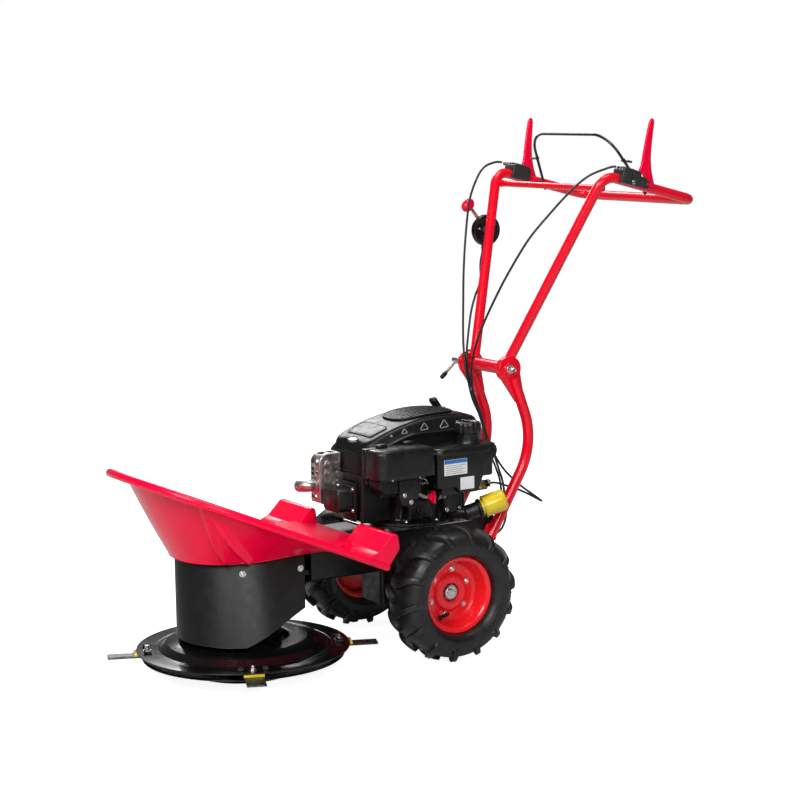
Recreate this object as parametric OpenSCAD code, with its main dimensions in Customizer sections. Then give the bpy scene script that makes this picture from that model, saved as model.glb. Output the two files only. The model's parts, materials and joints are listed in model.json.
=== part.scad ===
// Walk-behind rotary drum mower: engine over the wheels, cutting drum in front, handlebar behind.
// Frame: +Z up, forward is -Y, the operator's left is +X. The wheels' axle is above the origin.

/* [Wheels] */
// Radius of the tyre over its lugs
tyre_r = 165; // [164:0.5:166]
// Distance from the machine's middle to the middle of a tyre
track_half = 215.4; // [213:0.5:218]
// Width of the tyre
tyre_w = 127; // [120:1:128]
// Number of lugs on each side of a tyre
lug_count = 14; // [10:1:16]

/* [Cutting drum] */
// Distance from the axle forward to the drum's axis
drum_y = 444; // [442:1:450]
// Radius of the cutting disc
disc_r = 251; // [245:1:254]
// Radius of the circle that the blade tips draw
blade_tip_r = 317.6; // [300:0.5:320]
// Width of a blade
blade_w = 45; // [36:1:46]
// Direction of the first blade at rest, in degrees from +X
blade_angle = 247.2; // [240:1:250]
// Outer radius of the drum's shroud
shroud_r = 155; // [154:1:156]
// Height of the shroud's lower edge
shroud_z = 93; // [92:1:100]

/* [Frame] */
// Half the width of the main beam
beam_half = 76; // [74:1:76]
// Height of the beam's lower face
beam_z = 205; // [205:1:206]
// Height of the beam's upper face
beam_top = 301; // [300:0.5:301]
// Rear end of the beam
beam_rear = 225; // [222:1:226]

/* [Shield] */
// Half the width of the shield's rim
rim_half = 257; // [240:1:260]
// Height of the rim's plane above the axle
rim_z0 = 174.3; // [172:0.5:176]
// Rise of the rim's plane for each millimetre forward
rim_rise = 0.432; // [0.41:0.002:0.45]
// Thickness of the shield's wall
shield_t = 4; // [3:0.5:5]

/* [Handlebar] */
// Distance from the axle back to the handlebar's hinge
hinge_y = 266; // [265:0.5:267]
// Height of the handlebar's hinge
hinge_z = 662; // [661:0.5:663]
// Outer radius of the handlebar's tube
bar_r = 12.5; // [12:0.5:13]
// Half the distance between the grips' tubes
grip_half = 224; // [223:0.5:225]
// Outer radius of the two masts' tubes
mast_r = 13.5; // [13:0.5:14]
// Radius of the control cables
cable_r = 2.9; // [2.4:0.1:3]

/* [Engine] */
// Distance from the axle back to the crankshaft
crank_y = 38; // [37:0.5:39]
// Radius of the crankshaft
crank_r = 12.5; // [11:0.5:12.5]
// Radius of the flywheel
flywheel_r = 70; // [60:1:71]

/* [Hidden] */
$fn = 48;

axle_z = tyre_r;
run_gap = 0.05;
part_gap = 0.3;
red = "#d9123a";
black = "#1b1b1d";
steel = "#b5b8bc";
zinc = "#cfd2d4";

// Heights in the drum, from the ground up
disc_z = 57;
clip_z = 52.3;
blade_z = 48;
blade_t = 4;
blade_pin_r = 225;
pin_r = 5;
spindle_r = 12.5;
rotor_belt_z = 218;
drive_belt_z = 246;
belt_h = 18;
blade_angles = [for (i = [0:3]) blade_angle + 90 * i];

// Grip line: the stretch of the handlebar that carries the controls
bar_bend = [grip_half, 452, 1133.4];
bar_rear = [grip_half, 734, 1062];
grip_slope = atan2(bar_bend.z - bar_rear.z, bar_rear.y - bar_bend.y);
grip_start = [grip_half, 490, bar_bend.z - 38 * tan(grip_slope)];
lever_pivot = [242, 570, 1120];
bail_pivot = [0, 585, 1101];
throttle_pivot = [-212, 409, 982];
worm_r = 14;
wheel_gear_r = 32;
worm_y = -wheel_gear_r - worm_r - 0.4;

// Lugs of the tyres: bars that lean and cross the tread from each shoulder
lug_w = 14;
lug_lean = 32;
lug_reach = 76;
lug_from = 29;
tyre_mid_r = 119;

// Ring of the wheel bolts, and directions of the first bolt and of the valve from straight down
bolt_ring_r = 54.5;
bolt_turn = -10;
valve_turn = 335;

// Radius of the masts' round plates at the hinge
plate_r = 33;

// The blower housing's lower edge, and the muffler's rear face in front of it
blower_z = 438;
muffler_rear = -147.6;

// ---- Helpers ----

function unit(v) = v / norm(v);
function square_to(n, t) = unit(n - (n * t) * t);
function heading(p, i) = unit(p[min(i + 1, len(p) - 1)] - p[max(i - 1, 0)]);

// A normal at each point of a path, carried along without twist
function normals(p, n0) = [
    for (i = 0, n = square_to(n0, heading(p, 0)); i < len(p);
         i = i + 1, n = i < len(p) ? square_to(n, heading(p, i)) : n) n
];

// Points of an arc of radius r that rounds the corner b between a and c
function corner(a, b, c, r, n) =
    let (u = unit(a - b), v = unit(c - b), half = acos(u * v) / 2, turn = 180 - 2 * half,
         centre = b + unit(u + v) * r / sin(half),
         from = unit(b + u * r / tan(half) - centre), to = unit(b + v * r / tan(half) - centre))
    [for (i = [0:n]) centre + r * (sin(turn * (1 - i / n)) * from + sin(turn * i / n) * to) / sin(turn)];

// A path through corners that are rounded to the radii in r
function bent(p, r, n) = concat(
    [p[0]],
    [for (i = [1:len(p) - 2]) each corner(p[i - 1], p[i], p[i + 1], r[i - 1], n)],
    [p[len(p) - 1]]
);

// A smooth curve through every point of p, n steps to a stretch
function curve_point(a, b, c, d, t) =
    0.5 * (2 * b + (c - a) * t + (2 * a - 5 * b + 4 * c - d) * t * t + (3 * b - a - 3 * c + d) * t * t * t);
function smooth(p, n) = concat(
    [for (i = [0:len(p) - 2]) for (j = [0:n - 1])
        curve_point(p[max(i - 1, 0)], p[i], p[i + 1], p[min(i + 2, len(p) - 1)], j / n)],
    [p[len(p) - 1]]
);

// A closed solid through rings of points that all have the same count
module skin(rings) {
    count = len(rings[0]);
    last = (len(rings) - 1) * count;
    sides = [for (i = [0:len(rings) - 2]) for (k = [0:count - 1])
        let (a = i * count + k, b = i * count + (k + 1) % count) [a, a + count, b + count, b]];
    caps = [[for (k = [0:count - 1]) k], [for (k = [count - 1:-1:0]) last + k]];
    polyhedron(points = [for (ring = rings) each ring], faces = concat(sides, caps), convexity = 8);
}

// A round tube along a path, as one solid
module swept(p, r, sides) {
    n = normals(p, [0.31, 0.17, 0.93]);
    skin([for (i = [0:len(p) - 1]) let (t = heading(p, i), m = cross(t, n[i]))
        [for (k = [0:sides - 1]) p[i] + r * (cos(360 * k / sides) * n[i] + sin(360 * k / sides) * m)]]);
}

module along_x(p) { translate(p) rotate([0, 90, 0]) children(); }
module at_drum() { translate([0, -drum_y, 0]) children(); }
module at_blade(i) {
    at_drum() rotate([0, 0, blade_angles[i]]) translate([blade_pin_r, 0, blade_z]) children();
}
module both_sides() { children(); mirror([1, 0, 0]) children(); }
module bored(r, h, bore) {
    difference() {
        cylinder(r = r, h = h);
        translate([0, 0, -1]) cylinder(r = bore, h = h + 2);
    }
}
module at_starter() { translate([-70, 205, 500]) rotate([38, 0, 0]) children(); }
module at_filter() { translate([126, 158, 338]) rotate([-72, 0, -22]) children(); }
module on_grip() { translate(grip_start) rotate([-grip_slope, 0, 0]) children(); }
module round_box(low, high, r) {
    hull() for (x = [low.x + r, high.x - r], y = [low.y + r, high.y - r])
        translate([x, y, low.z]) cylinder(r = r, h = high.z - low.z, $fn = 32);
}

// ---- Frame ----

module main_beam() {
    wall = 3;
    front = -300;
    color(black) difference() {
        union() {
            translate([-beam_half, front, beam_z])
                cube([2 * beam_half, beam_rear - front, beam_top - beam_z]);
            translate([-beam_half, -drum_y, beam_z]) cube([2 * beam_half, drum_y + front + 1, wall]);
            at_drum() translate([0, 0, beam_z]) cylinder(r = 151, h = wall);
        }
        translate([wall - beam_half, front - 1, beam_z + wall])
            cube([2 * (beam_half - wall), beam_rear - front - wall, beam_top - beam_z - 2 * wall]);
        at_drum() translate([0, 0, beam_z - 1]) cylinder(r = 20, h = wall + 2);
        translate([0, worm_y, beam_z - 1]) cylinder(r = 14, h = wall + 2);
        translate([0, crank_y, beam_top - wall - 1]) cylinder(r = 50, h = wall + 2);
    }
}

module engine_plate() {
    color("#55585c") difference() {
        round_box([-98, -112, beam_top], [98, 150, beam_top + 4], 14);
        translate([0, crank_y, beam_top - 1]) cylinder(r = 50, h = 6);
    }
}

module drum_shroud() {
    inner_r = shroud_r - 3;
    rear = 82;
    top = 297;
    color(black) at_drum() difference() {
        translate([0, 0, shroud_z]) linear_extrude(top - shroud_z) difference() {
            union() {
                circle(shroud_r);
                translate([-shroud_r, 0]) square([2 * shroud_r, rear]);
            }
            union() {
                circle(inner_r);
                translate([-inner_r, 0]) square([2 * inner_r, rear + 1]);
            }
        }
        translate([-200, 0, 0]) rotate([90, 0, 90]) linear_extrude(400)
            polygon([[-66, shroud_z - 1], [-50, 100], [14, 134], [rear, 170], [rear + 2, shroud_z - 1]]);
        translate([-200, rear, 0]) cube([400, 100, 400]);
        along_x([-200, 71, 263]) cylinder(r = 4.5, h = 400);
        both_sides() rotate([0, 0, -27]) along_x([140, 0, 266]) cylinder(r = 4.5, h = 30);
    }
}

module hex_bolt(head_r, head_h, shank_r, length) {
    cylinder(r = head_r, h = head_h, $fn = 6);
    translate([0, 0, -length]) cylinder(r = shank_r, h = length);
}

module frame_bolts() {
    color(zinc) both_sides() at_drum() {
        along_x([shroud_r, 71, 263]) hex_bolt(7, 5, 4, 14);
        rotate([0, 0, -27]) along_x([shroud_r, 0, 266]) hex_bolt(7, 5, 4, 14);
    }
}

function rim_height(y) = rim_z0 - rim_rise * y;

// Outline of the shield seen from above: a straight side, a round front, a straight side
function shield_line(half, centre_y, rear_y) = concat(
    [[half, rear_y]],
    [for (i = [1:5]) [half, rear_y + (centre_y - rear_y) * i / 6]],
    [for (a = [0:9:180]) [half * cos(a), centre_y - half * sin(a)]],
    [for (i = [5:-1:1]) [-half, rear_y + (centre_y - rear_y) * i / 6]],
    [[-half, rear_y]]
);

// The flared skin from the shroud up to a rolled lip on the rim's plane
module shield_bowl() {
    front_y = -487;
    lip_r = 8;
    lip_angle = asin(shield_t / 2 / lip_r);
    outer = shield_line(rim_half, front_y, -204);
    inner = shield_line(shroud_r + 8 + shield_t, -drum_y, -236);
    skin([for (i = [0:len(outer) - 1])
        let (o = outer[i], s = inner[i], out = unit(o - s), rim = rim_height(o.y),
             foot = min(rim + 14, 290 + 10 * max(0, min(1, (s.y + 600) / 200))),
             rise = atan2(rim - foot, norm(o - s)), across = [-sin(rise), cos(rise)] * shield_t / 2)
        [
            [s.x - across.x * out.x, s.y - across.x * out.y, foot - across.y],
            each [for (k = [-3:3]) let (a = rise + (180 - lip_angle) * k / 3)
                [o.x + lip_r * cos(a) * out.x, o.y + lip_r * cos(a) * out.y, rim + lip_r * sin(a)]],
            [s.x + across.x * out.x, s.y + across.x * out.y, foot + across.y]
        ]]);
}

module debris_shield() {
    deck_z = beam_top + 0.3;
    wing = [[-262, 290], [-226, 301], [-190, 336], [-177, 336], [-172, 302], [-203, 262]];
    inside = [[-256, 285], [-224, 296], [-188, 331], [-180, 331], [-176.5, 302], [-205, 240], [-256, 240]];
    color(red) {
        shield_bowl();
        translate([0, 0, deck_z]) linear_extrude(shield_t)
            polygon(concat([[112, -200], [90, -188], [-90, -188], [-112, -200]],
                [for (a = [180:-10:0]) [156 * cos(a), -drum_y - 156 * sin(a)]], [[156, -270]]));
        both_sides() difference() {
            translate([112, 0, 0]) rotate([90, 0, 90]) linear_extrude(rim_half + 4 - 112) polygon(wing);
            translate([112 + shield_t, 0, 0]) rotate([90, 0, 90]) linear_extrude(rim_half - 112 - shield_t)
                polygon(inside);
        }
    }
}

module gearbox_case() {
    color("#26272a") difference() {
        translate([-50, -90, 112]) cube([100, 145, beam_z - 112]);
        translate([-42, -82, 118]) cube([84, 129, 80]);
        along_x([-60, 0, axle_z]) cylinder(r = 20, h = 120);
        translate([0, worm_y, 190]) cylinder(r = 16, h = 30);
    }
}

module shaft_bearings() {
    color(steel) {
        at_drum() for (z = [128, 183]) translate([0, 0, z]) bored(26, 14, spindle_r + run_gap);
        for (x = [-50, 42]) along_x([x, 0, axle_z]) bored(20, 8, 10 + run_gap);
        translate([0, worm_y, 198]) bored(16, 7, 8 + run_gap);
    }
}

module spindle_housing() {
    color("#3a3b3e") at_drum() rotate_extrude() polygon([
        [20, 142], [26, 142], [26, 125], [34, 125], [34, 192], [60, 197],
        [60, beam_z], [26, beam_z], [26, 183], [20, 183]
    ]);
}

module handle_masts() {
    mast_x = beam_half + mast_r;
    path = bent([[mast_x, 276, 640], [mast_x, 338, 474], [mast_x, 203, 252]], [170], 10);
    color(red) both_sides() difference() {
        union() {
            swept(path, mast_r, 20);
            along_x([80, hinge_y, hinge_z]) cylinder(r = plate_r, h = 10);
        }
        along_x([70, hinge_y, hinge_z]) cylinder(r = 6 + run_gap, h = 40);
        translate([70, 230, 628]) cube([10, 80, 72]);
    }
}

module pulley(r, bore) {
    difference() {
        union() {
            cylinder(r = r - 8.2, h = belt_h);
            cylinder(r = r, h = 2.6);
            translate([0, 0, belt_h - 2.6]) cylinder(r = r, h = 2.6);
        }
        translate([0, 0, -1]) cylinder(r = bore, h = belt_h + 2);
    }
}

module belt(a, b, ra, rb, z) {
    color("#222224") translate([0, 0, z + 3]) linear_extrude(belt_h - 6) difference() {
        hull() { translate([0, a]) circle(ra + 0.5); translate([0, b]) circle(rb + 0.5); }
        hull() { translate([0, a]) circle(ra - 7.5); translate([0, b]) circle(rb - 7.5); }
    }
}

module blade_belt() { belt(crank_y, -drum_y, 35, 80, rotor_belt_z); }
module drive_belt() { belt(crank_y, worm_y, 35, 45, drive_belt_z); }

// ---- Engine ----

module crankcase() {
    base = beam_top + 4;
    color("#222326") difference() {
        union() {
            translate([0, crank_y - 20, base]) cylinder(r = 110, h = 8);
            translate([0, crank_y, base + 8]) cylinder(r = 88, h = 112);
            translate([45, 72, 325]) rotate([0, 90, 37.3]) cylinder(r = 16, h = 84);
            at_filter() translate([0, 0, -50]) cylinder(r = 19, h = 44);
        }
        translate([0, crank_y, base - 1]) cylinder(r = crank_r + run_gap, h = 130);
        translate([0, crank_y, 335]) cylinder(r = 62, h = 72);
    }
}

module cylinder_block() {
    color("#2a2b2e") difference() {
        union() {
            translate([-32, -152, 336]) cube([64, 110, 68]);
            for (i = [0:8]) translate([-36, -150 + 11 * i, 322]) cube([72, 3, 92]);
        }
        translate([0, crank_y, 300]) cylinder(r = 88.3, h = 150);
        translate([0, -140, 370]) rotate([-90, 0, 0]) cylinder(r = 26, h = 200);
    }
}

module valve_cover() {
    color("#1e1e20") {
        translate([0, -152.3, 0]) rotate([90, 0, 0]) round_box([-36, 345, 0], [45, 410, 8], 8);
        translate([0, -160, 0]) rotate([90, 0, 0]) round_box([-32, 349, 0], [41, 406, 44], 14);
    }
}

module muffler() {
    color("#9a9b9c") {
        translate([-75, 0, 0]) rotate([90, 0, 90]) round_box([-192, 368, 0], [-118, blower_z - 2, 33], 16);
        translate([-75, 0, 0]) rotate([90, 0, 90]) round_box([-192, 368, 0], [muffler_rear, 472, 33], 16);
        translate([-60, -191, 405]) rotate([90, 0, 0]) cylinder(r = 14.8, h = 42);
        translate([-60, -233, 405]) sphere(r = 14.8);
    }
}

module muffler_guard() {
    color("#a9abad") difference() {
        round_box([-82, -206, 360], [-38.5, -110, 482], 8);
        round_box([-79, -203, 350], [-41.5, -107, 490], 7);
        translate([-100, muffler_rear, blower_z - 1]) cube([80, 60, 60]);
        translate([-60, -170, 405]) rotate([90, 0, 0]) cylinder(r = 17.5, h = 60);
        for (z = [434, 450, 466, 372]) translate([-74, -220, z]) cube([28, 40, 8]);
        for (y = [-196:20:-130], z = [372, 392, 412, 432, 452]) translate([-90, y, z]) cube([60, 12, 12]);
    }
}

module blower_shell(inset) {
    base = blower_z - inset;
    hull() {
        translate([-85, -111, base]) cylinder(r = 35 - inset, h = 60, $fn = 32);
        translate([38, -106, base]) cylinder(r = 40 - inset, h = 60, $fn = 32);
        translate([-70, 173, base]) cylinder(r = 50 - inset, h = 70, $fn = 32);
        translate([28, 173, base]) cylinder(r = 50 - inset, h = 70, $fn = 32);
        translate([-20, -95, 515 - inset]) cylinder(r = 40 - inset, h = 4, $fn = 32);
        translate([-20, 38, 568 - inset]) cylinder(r = 82 - inset, h = 9, $fn = 32);
        translate([-20, 160, 540 - inset]) cylinder(r = 50 - inset, h = 6, $fn = 32);
    }
}

module blower_housing() {
    color(black) difference() {
        blower_shell(0);
        blower_shell(3.5);
        for (i = [-4:4]) translate([-20 + i * 15 - 3, 38 - 55, 560]) cube([6, 110, 30]);
        at_starter() cylinder(r = 9.5, h = 90);
        at_starter() translate([-17, -10, 78]) cube([34, 20, 40]);
    }
}

module carburettor() {
    color("#1c1c1e") {
        round_box([79.5, -118, 386], [98, -34, 441], 6);
        round_box([79.5, -160, 441], [99, -8, 508], 8);
    }
}

module air_filter() {
    color("#d8d2bd") {
        translate([99.5, -140, 452]) cube([6, 115, 52]);
        for (i = [0:8]) translate([105.5, -138 + 12.7 * i, 454]) cube([20, 8, 48]);
    }
}

module fuel_tank() {
    color(black) difference() {
        union() {
            round_box([80, 5, 440], [155, 194, 482], 26);
            round_box([80, 20, 482], [146, 180, 497], 24);
            round_box([92, 12, 402], [152, 165, 440], 20);
            round_box([96, 27, 384], [148, 130, 402], 16);
            translate([114, 122, 497]) cylinder(r = 28, h = 27);
            translate([98, 6, 370]) cube([13, 26, 24]);
        }
        translate([114, 122, 470]) cylinder(r = 23, h = 60);
        along_x([97, 14, 378]) cylinder(r = 4 + run_gap, h = 15);
    }
}

module oil_filter() {
    color("#e6c619") at_filter() {
        cylinder(r = 27, h = 52);
        translate([0, 0, 52]) cylinder(r1 = 27, r2 = 20, h = 6);
        translate([0, 0, -6]) cylinder(r = 20, h = 6);
    }
}

module control_bracket() {
    color("#8b8468") {
        translate([40, 88, 425]) cube([40, 30, 3]);
        translate([77, 88, 372]) cube([3, 72, 56]);
        translate([77, 150, 372]) cube([18, 44, 3]);
        translate([92, 150, 372]) cube([3, 44, 26]);
        translate([95, 184, 380]) cube([14, 10, 18]);
    }
}

module crankshaft() {
    color(steel) translate([0, crank_y, 0]) {
        translate([0, 0, 212]) cylinder(r = crank_r, h = 262);
        translate([0, 0, 344]) cylinder(r = 34, h = 12);
        translate([0, 0, 384]) cylinder(r = 34, h = 12);
    }
}

module flywheel() {
    color("#8d9094") translate([0, crank_y, 446]) {
        bored(flywheel_r, 12, crank_r);
        for (a = [0:30:330]) rotate([0, 0, a]) translate([40, -2, 12]) cube([26, 4, 16]);
    }
}

module engine_pulley() {
    color(steel) translate([0, crank_y, 0]) {
        translate([0, 0, rotor_belt_z]) pulley(35, crank_r);
        translate([0, 0, drive_belt_z]) pulley(35, crank_r);
        translate([0, 0, rotor_belt_z + belt_h]) bored(20, drive_belt_z - rotor_belt_z - belt_h, crank_r);
    }
}

// ---- Cutting drum ----

module spindle_shaft() { color(steel) at_drum() translate([0, 0, 8]) cylinder(r = spindle_r, h = 236); }
module rotor_pulley() { color(steel) at_drum() translate([0, 0, rotor_belt_z]) pulley(80, spindle_r); }

module drum_tube() {
    color(black) at_drum() rotate_extrude() polygon([
        [70, disc_z + 6], [91, disc_z + 6], [91, 178], [88, 178], [88, disc_z + 9], [70, disc_z + 9]
    ]);
}

module cutting_disc() {
    color(black) at_drum() difference() {
        union() {
            rotate_extrude($fn = 96) polygon([
                [spindle_r, 63], [30, 63], [30, 72], [40, 72], [40, 63], [104, 63], [108, 84], [150, 82],
                [182, 74], [197, 60], [disc_r, 60], [disc_r, 57], [195.5, 57], [180.5, 71],
                [149.5, 79], [110.5, 81], [106.5, 60], [spindle_r, 60]
            ]);
            for (a = blade_angles, s = [-1, 1])
                rotate([0, 0, a]) translate([216, s * 28 - 9, 58]) cube([18, 18, 9]);
        }
        for (a = blade_angles)
            rotate([0, 0, a]) translate([blade_pin_r, 0, 50]) cylinder(r = pin_r, h = 20);
    }
}

module blade_bolts() {
    color(zinc) at_drum() for (a = blade_angles) rotate([0, 0, a]) translate([blade_pin_r, 0, 0]) {
        translate([0, 0, 44.6]) cylinder(r = 9, h = 3.1);
        translate([0, 0, 47]) cylinder(r = pin_r, h = 25);
        translate([0, 0, 60]) cylinder(r = 8.5, h = 8, $fn = 6);
    }
}

module blade_clips() {
    color("#e0b93a") at_drum() for (a = blade_angles) rotate([0, 0, a]) difference() {
        translate([202, -23, clip_z]) cube([54, 46, disc_z - clip_z]);
        translate([blade_pin_r, 0, 40]) cylinder(r = pin_r, h = 20);
    }
}

module blade(i) {
    reach = blade_tip_r - blade_pin_r;
    color("#4a4c50") at_blade(i) difference() {
        union() {
            cylinder(r = blade_w / 2, h = blade_t);
            translate([0, -blade_w / 2, 0]) cube([reach, blade_w, blade_t]);
        }
        translate([0, 0, -1]) cylinder(r = pin_r + run_gap, h = blade_t + 2);
    }
}

module skid_saucer() {
    color(black) at_drum() rotate_extrude($fn = 96) polygon([
        [0, 0], [120, 0], [224, 38], [238, 39], [238, 42], [223, 41], [119, 3], [32, 3], [32, 26],
        [spindle_r + run_gap, 26], [spindle_r + run_gap, 4], [0, 4]
    ]);
}

// ---- Drive ----

module axle_shaft() {
    color(steel) {
        along_x([-216, 0, axle_z]) cylinder(r = 10, h = 432);
        for (s = [-1, 1]) along_x([s * 211 - 5, 0, axle_z]) cylinder(r = 17, h = 10);
        along_x([-9, 0, axle_z]) cylinder(r = wheel_gear_r, h = 18);
    }
}

module drive_worm() {
    color(steel) translate([0, worm_y, 0]) {
        translate([0, 0, 124]) cylinder(r = worm_r, h = 72);
        translate([0, 0, 120]) cylinder(r = 8, h = drive_belt_z + belt_h + 6 - 120);
        translate([0, 0, drive_belt_z]) pulley(45, 8);
    }
}

// Points on a rounded oval about the tyre's section, r from the axle and x from the tyre's middle
function oval(half_w, half_h, angles) = [
    for (a = angles) let (c = cos(a), s = sin(a))
        [tyre_mid_r + half_h * sign(s) * pow(abs(s), 0.8), half_w * sign(c) * pow(abs(c), 0.8)]
];

// Section of the tyre: a bead in the rim's seat, the outside over the tread, and the hollow inside
function tyre_section(half_w) = concat(
    [[84.3, 19], [84.3, 29.6], [92, 31.6], [92.2, 36]],
    oval(half_w, 35, [-42:12:222]),
    [[92.2, -36], [92, -31.6], [84.3, -29.6], [84.3, -19], [90, -22]],
    oval(half_w - 8, 27, [228:-12:-48]),
    [[90, 22]]
);

module tyre() {
    half_w = tyre_w / 2;
    body_half = half_w - 2.5;
    color("#232324") along_x([track_half, 0, axle_z]) {
        rotate_extrude($fn = 96) polygon(tyre_section(body_half));
        intersection() {
            rotate_extrude($fn = 96)
                polygon(concat(oval(half_w, tyre_r - tyre_mid_r, [8:12:176]),
                    oval(body_half - 4, 31, [166:-14:12])));
            for (s = [-1, 1], i = [0:lug_count - 1]) rotate([0, 0, (i + (s + 1) / 4) * 360 / lug_count])
                translate([110, 0, s * lug_from]) rotate([s * lug_lean, 0, 0])
                    translate([0, -lug_w / 2, s < 0 ? 31 - lug_reach : -31]) cube([60, lug_w, lug_reach]);
        }
    }
}

module rim() {
    color(red) along_x([track_half, 0, axle_z]) difference() {
        rotate_extrude($fn = 96) polygon([
            [80, -33], [88, -35], [91.6, -35], [91.6, -32], [84, -30],
            [84, 30], [91.6, 32], [91.6, 35], [88, 35], [80, 33],
            [76, 22], [70, 12], [66, -4], [62, -8], [10 + run_gap, -10.2],
            [10 + run_gap, -50], [22, -50], [22, -14], [62, -12], [70, -6], [80, 6]
        ]);
        for (a = [0:60:300])
            rotate([0, 0, a + bolt_turn]) translate([bolt_ring_r, 0, -30]) cylinder(r = 5, h = 40);
        rotate([0, 0, valve_turn]) translate([60, 0, -30]) cylinder(r = 4, h = 40);
    }
}

module wheel_bolts() {
    color(zinc) along_x([track_half, 0, axle_z]) {
        for (a = [0:60:300])
            rotate([0, 0, a + bolt_turn]) translate([bolt_ring_r, 0, -7.5]) hex_bolt(6.5, 5, 4.7, 12);
        rotate([0, 0, valve_turn]) translate([60, 0, -20]) cylinder(r = 3.7, h = 42);
    }
}

// ---- Handlebar ----

module handle_frame() {
    low = [66, hinge_y, hinge_z];
    far = [-1, 1, 1];
    path = bent([low + [0, 0, 3], bar_bend, bar_rear, [for (i = [0:2]) bar_rear[i] * far[i]],
        [for (i = [0:2]) bar_bend[i] * far[i]], [-low.x, low.y, low.z + 3]], [40, 34, 34, 40], 8);
    color(red) difference() {
        union() {
            swept(path, bar_r, 18);
            along_x([-215, 456, 1101]) cylinder(r = 8, h = 430);
            along_x([-79.7, hinge_y, hinge_z]) cylinder(r = 16, h = 159.4);
            both_sides() along_x([68, hinge_y, hinge_z]) cylinder(r = 30, h = 11.7);
        }
        both_sides() along_x([79.7, hinge_y, hinge_z]) cylinder(r = plate_r + part_gap, h = 20);
        along_x([-90, hinge_y, hinge_z]) cylinder(r = 6 + run_gap, h = 180);
        both_sides() along_x([205, bail_pivot.y, bail_pivot.z]) cylinder(r = 3.5 + run_gap, h = 26);
    }
}

module pivot_bolt() {
    color(zinc) {
        along_x([-128, hinge_y, hinge_z]) cylinder(r = 6, h = 236);
        along_x([90.3, hinge_y, hinge_z]) cylinder(r = 10, h = 9, $fn = 6);
        along_x([-127, hinge_y, hinge_z]) bored(9, 36.5, 6);
    }
}

module clamp_lever() {
    color(zinc) {
        along_x([-154, hinge_y, hinge_z]) cylinder(r = 10, h = 25.7);
        translate([-143, hinge_y, hinge_z]) rotate([131, 0, 0]) cylinder(r = 4, h = 52);
    }
    color(black) translate([-143, hinge_y, hinge_z]) rotate([131, 0, 0])
        translate([0, 0, 46]) cylinder(r = 6, h = 18);
}

module lever_housing() {
    outline = [[0, -8], [0, 30], [50, 30], [56, 26], [56, 18], [80, 18], [85, 13], [85, -8]];
    color(black) difference() {
        on_grip() translate([-18, 0, 0]) rotate([90, 0, 90]) linear_extrude(42) polygon(outline);
        on_grip() translate([12, 54, -9]) cube([10.4, 40, 50]);
        on_grip() translate([-19, 57, -9]) cube([31.1, 40, 50]);
        on_grip() translate([0, -5, 0]) rotate([-90, 0, 0]) cylinder(r = bar_r + 0.2, h = 100);
        on_grip() translate([-25, 20, -20]) cube([20, 12, 12.3]);
        along_x([230, lever_pivot.y, lever_pivot.z]) cylinder(r = 4 + run_gap, h = 40);
    }
    color(zinc) on_grip() along_x([24, 38, 0]) cylinder(r = 6, h = 3, $fn = 6);
    color(zinc) on_grip() translate([14, -10, 27]) rotate([-90, 0, 0]) cylinder(r = 4, h = 10);
}

module lever_housings() { both_sides() lever_housing(); }

module drive_lever() {
    p = lever_pivot;
    tip = [249, 580, 1262];
    middle = [245, 573.5, 1210];
    color(red) {
        hull() {
            along_x([p.x - 4, 555, 1146]) cylinder(r = 3, h = 8, $fn = 32);
            along_x([p.x - 4, 577, 1152]) cylinder(r = 6, h = 8, $fn = 32);
            along_x([p.x - 4, 592, 1106]) cylinder(r = 3, h = 8, $fn = 32);
            along_x([p.x - 4, p.y, p.z - 4]) cylinder(r = 6, h = 8, $fn = 32);
        }
        hull() {
            along_x([p.x - 4, 560, 1150]) cylinder(r = 7, h = 8, $fn = 32);
            along_x([p.x - 4, 573, 1150]) cylinder(r = 8, h = 8, $fn = 32);
            translate(middle) sphere(r = 8, $fn = 24);
        }
        hull() {
            translate(middle) sphere(r = 8, $fn = 24);
            translate(tip) sphere(r = 6.5, $fn = 24);
        }
        along_x([231, p.y, p.z]) cylinder(r = 4, h = 17.5);
    }
}

module lever_left() { drive_lever(); }
module lever_right() { mirror([1, 0, 0]) drive_lever(); }

module bail() {
    foot = [206, bail_pivot.y, bail_pivot.z];
    top = [157, 513, 1228];
    end = foot + [2, 9, -17];
    path = bent([end, top, [-top.x, top.y, top.z], [-end.x, end.y, end.z]], [74, 74], 8);
    color(black) {
        swept(path, 3.5, 12);
        both_sides() {
            along_x([201, bail_pivot.y, bail_pivot.z]) cylinder(r = 3.5, h = 29);
            along_x([180, 549, 1163]) cylinder(r = 3, h = 34);
        }
    }
}

module throttle_housing() {
    p = throttle_pivot;
    color(black) difference() {
        union() {
            along_x([-225, p.y, p.z]) cylinder(r = 40, h = 20);
            along_x([-209, 400, p.z]) cylinder(r = 9, h = 9);
        }
        translate([-218.2, p.y - 45, p.z - 8]) cube([6.4, 60, 62]);
        along_x([-230, p.y, p.z]) cylinder(r = 4 + run_gap, h = 24.5);
    }
}

module throttle_lever() {
    p = throttle_pivot;
    lean = 38;
    color(zinc) {
        along_x([-224.5, p.y, p.z]) cylinder(r = 4, h = 18.5);
        translate([-217, p.y, p.z]) rotate([lean, 0, 0]) translate([0, -5, 0]) cube([4, 10, 80]);
    }
    color(red) translate([-220, p.y, p.z]) rotate([lean, 0, 0]) translate([0, 0, 86]) rotate([0, 90, 0])
        rotate_extrude() polygon([for (a = [-90:15:90]) [20 * cos(a), 10 * sin(a)]]);
}

// ---- Cables: routes from the handlebar's end to the machine's end ----

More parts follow.
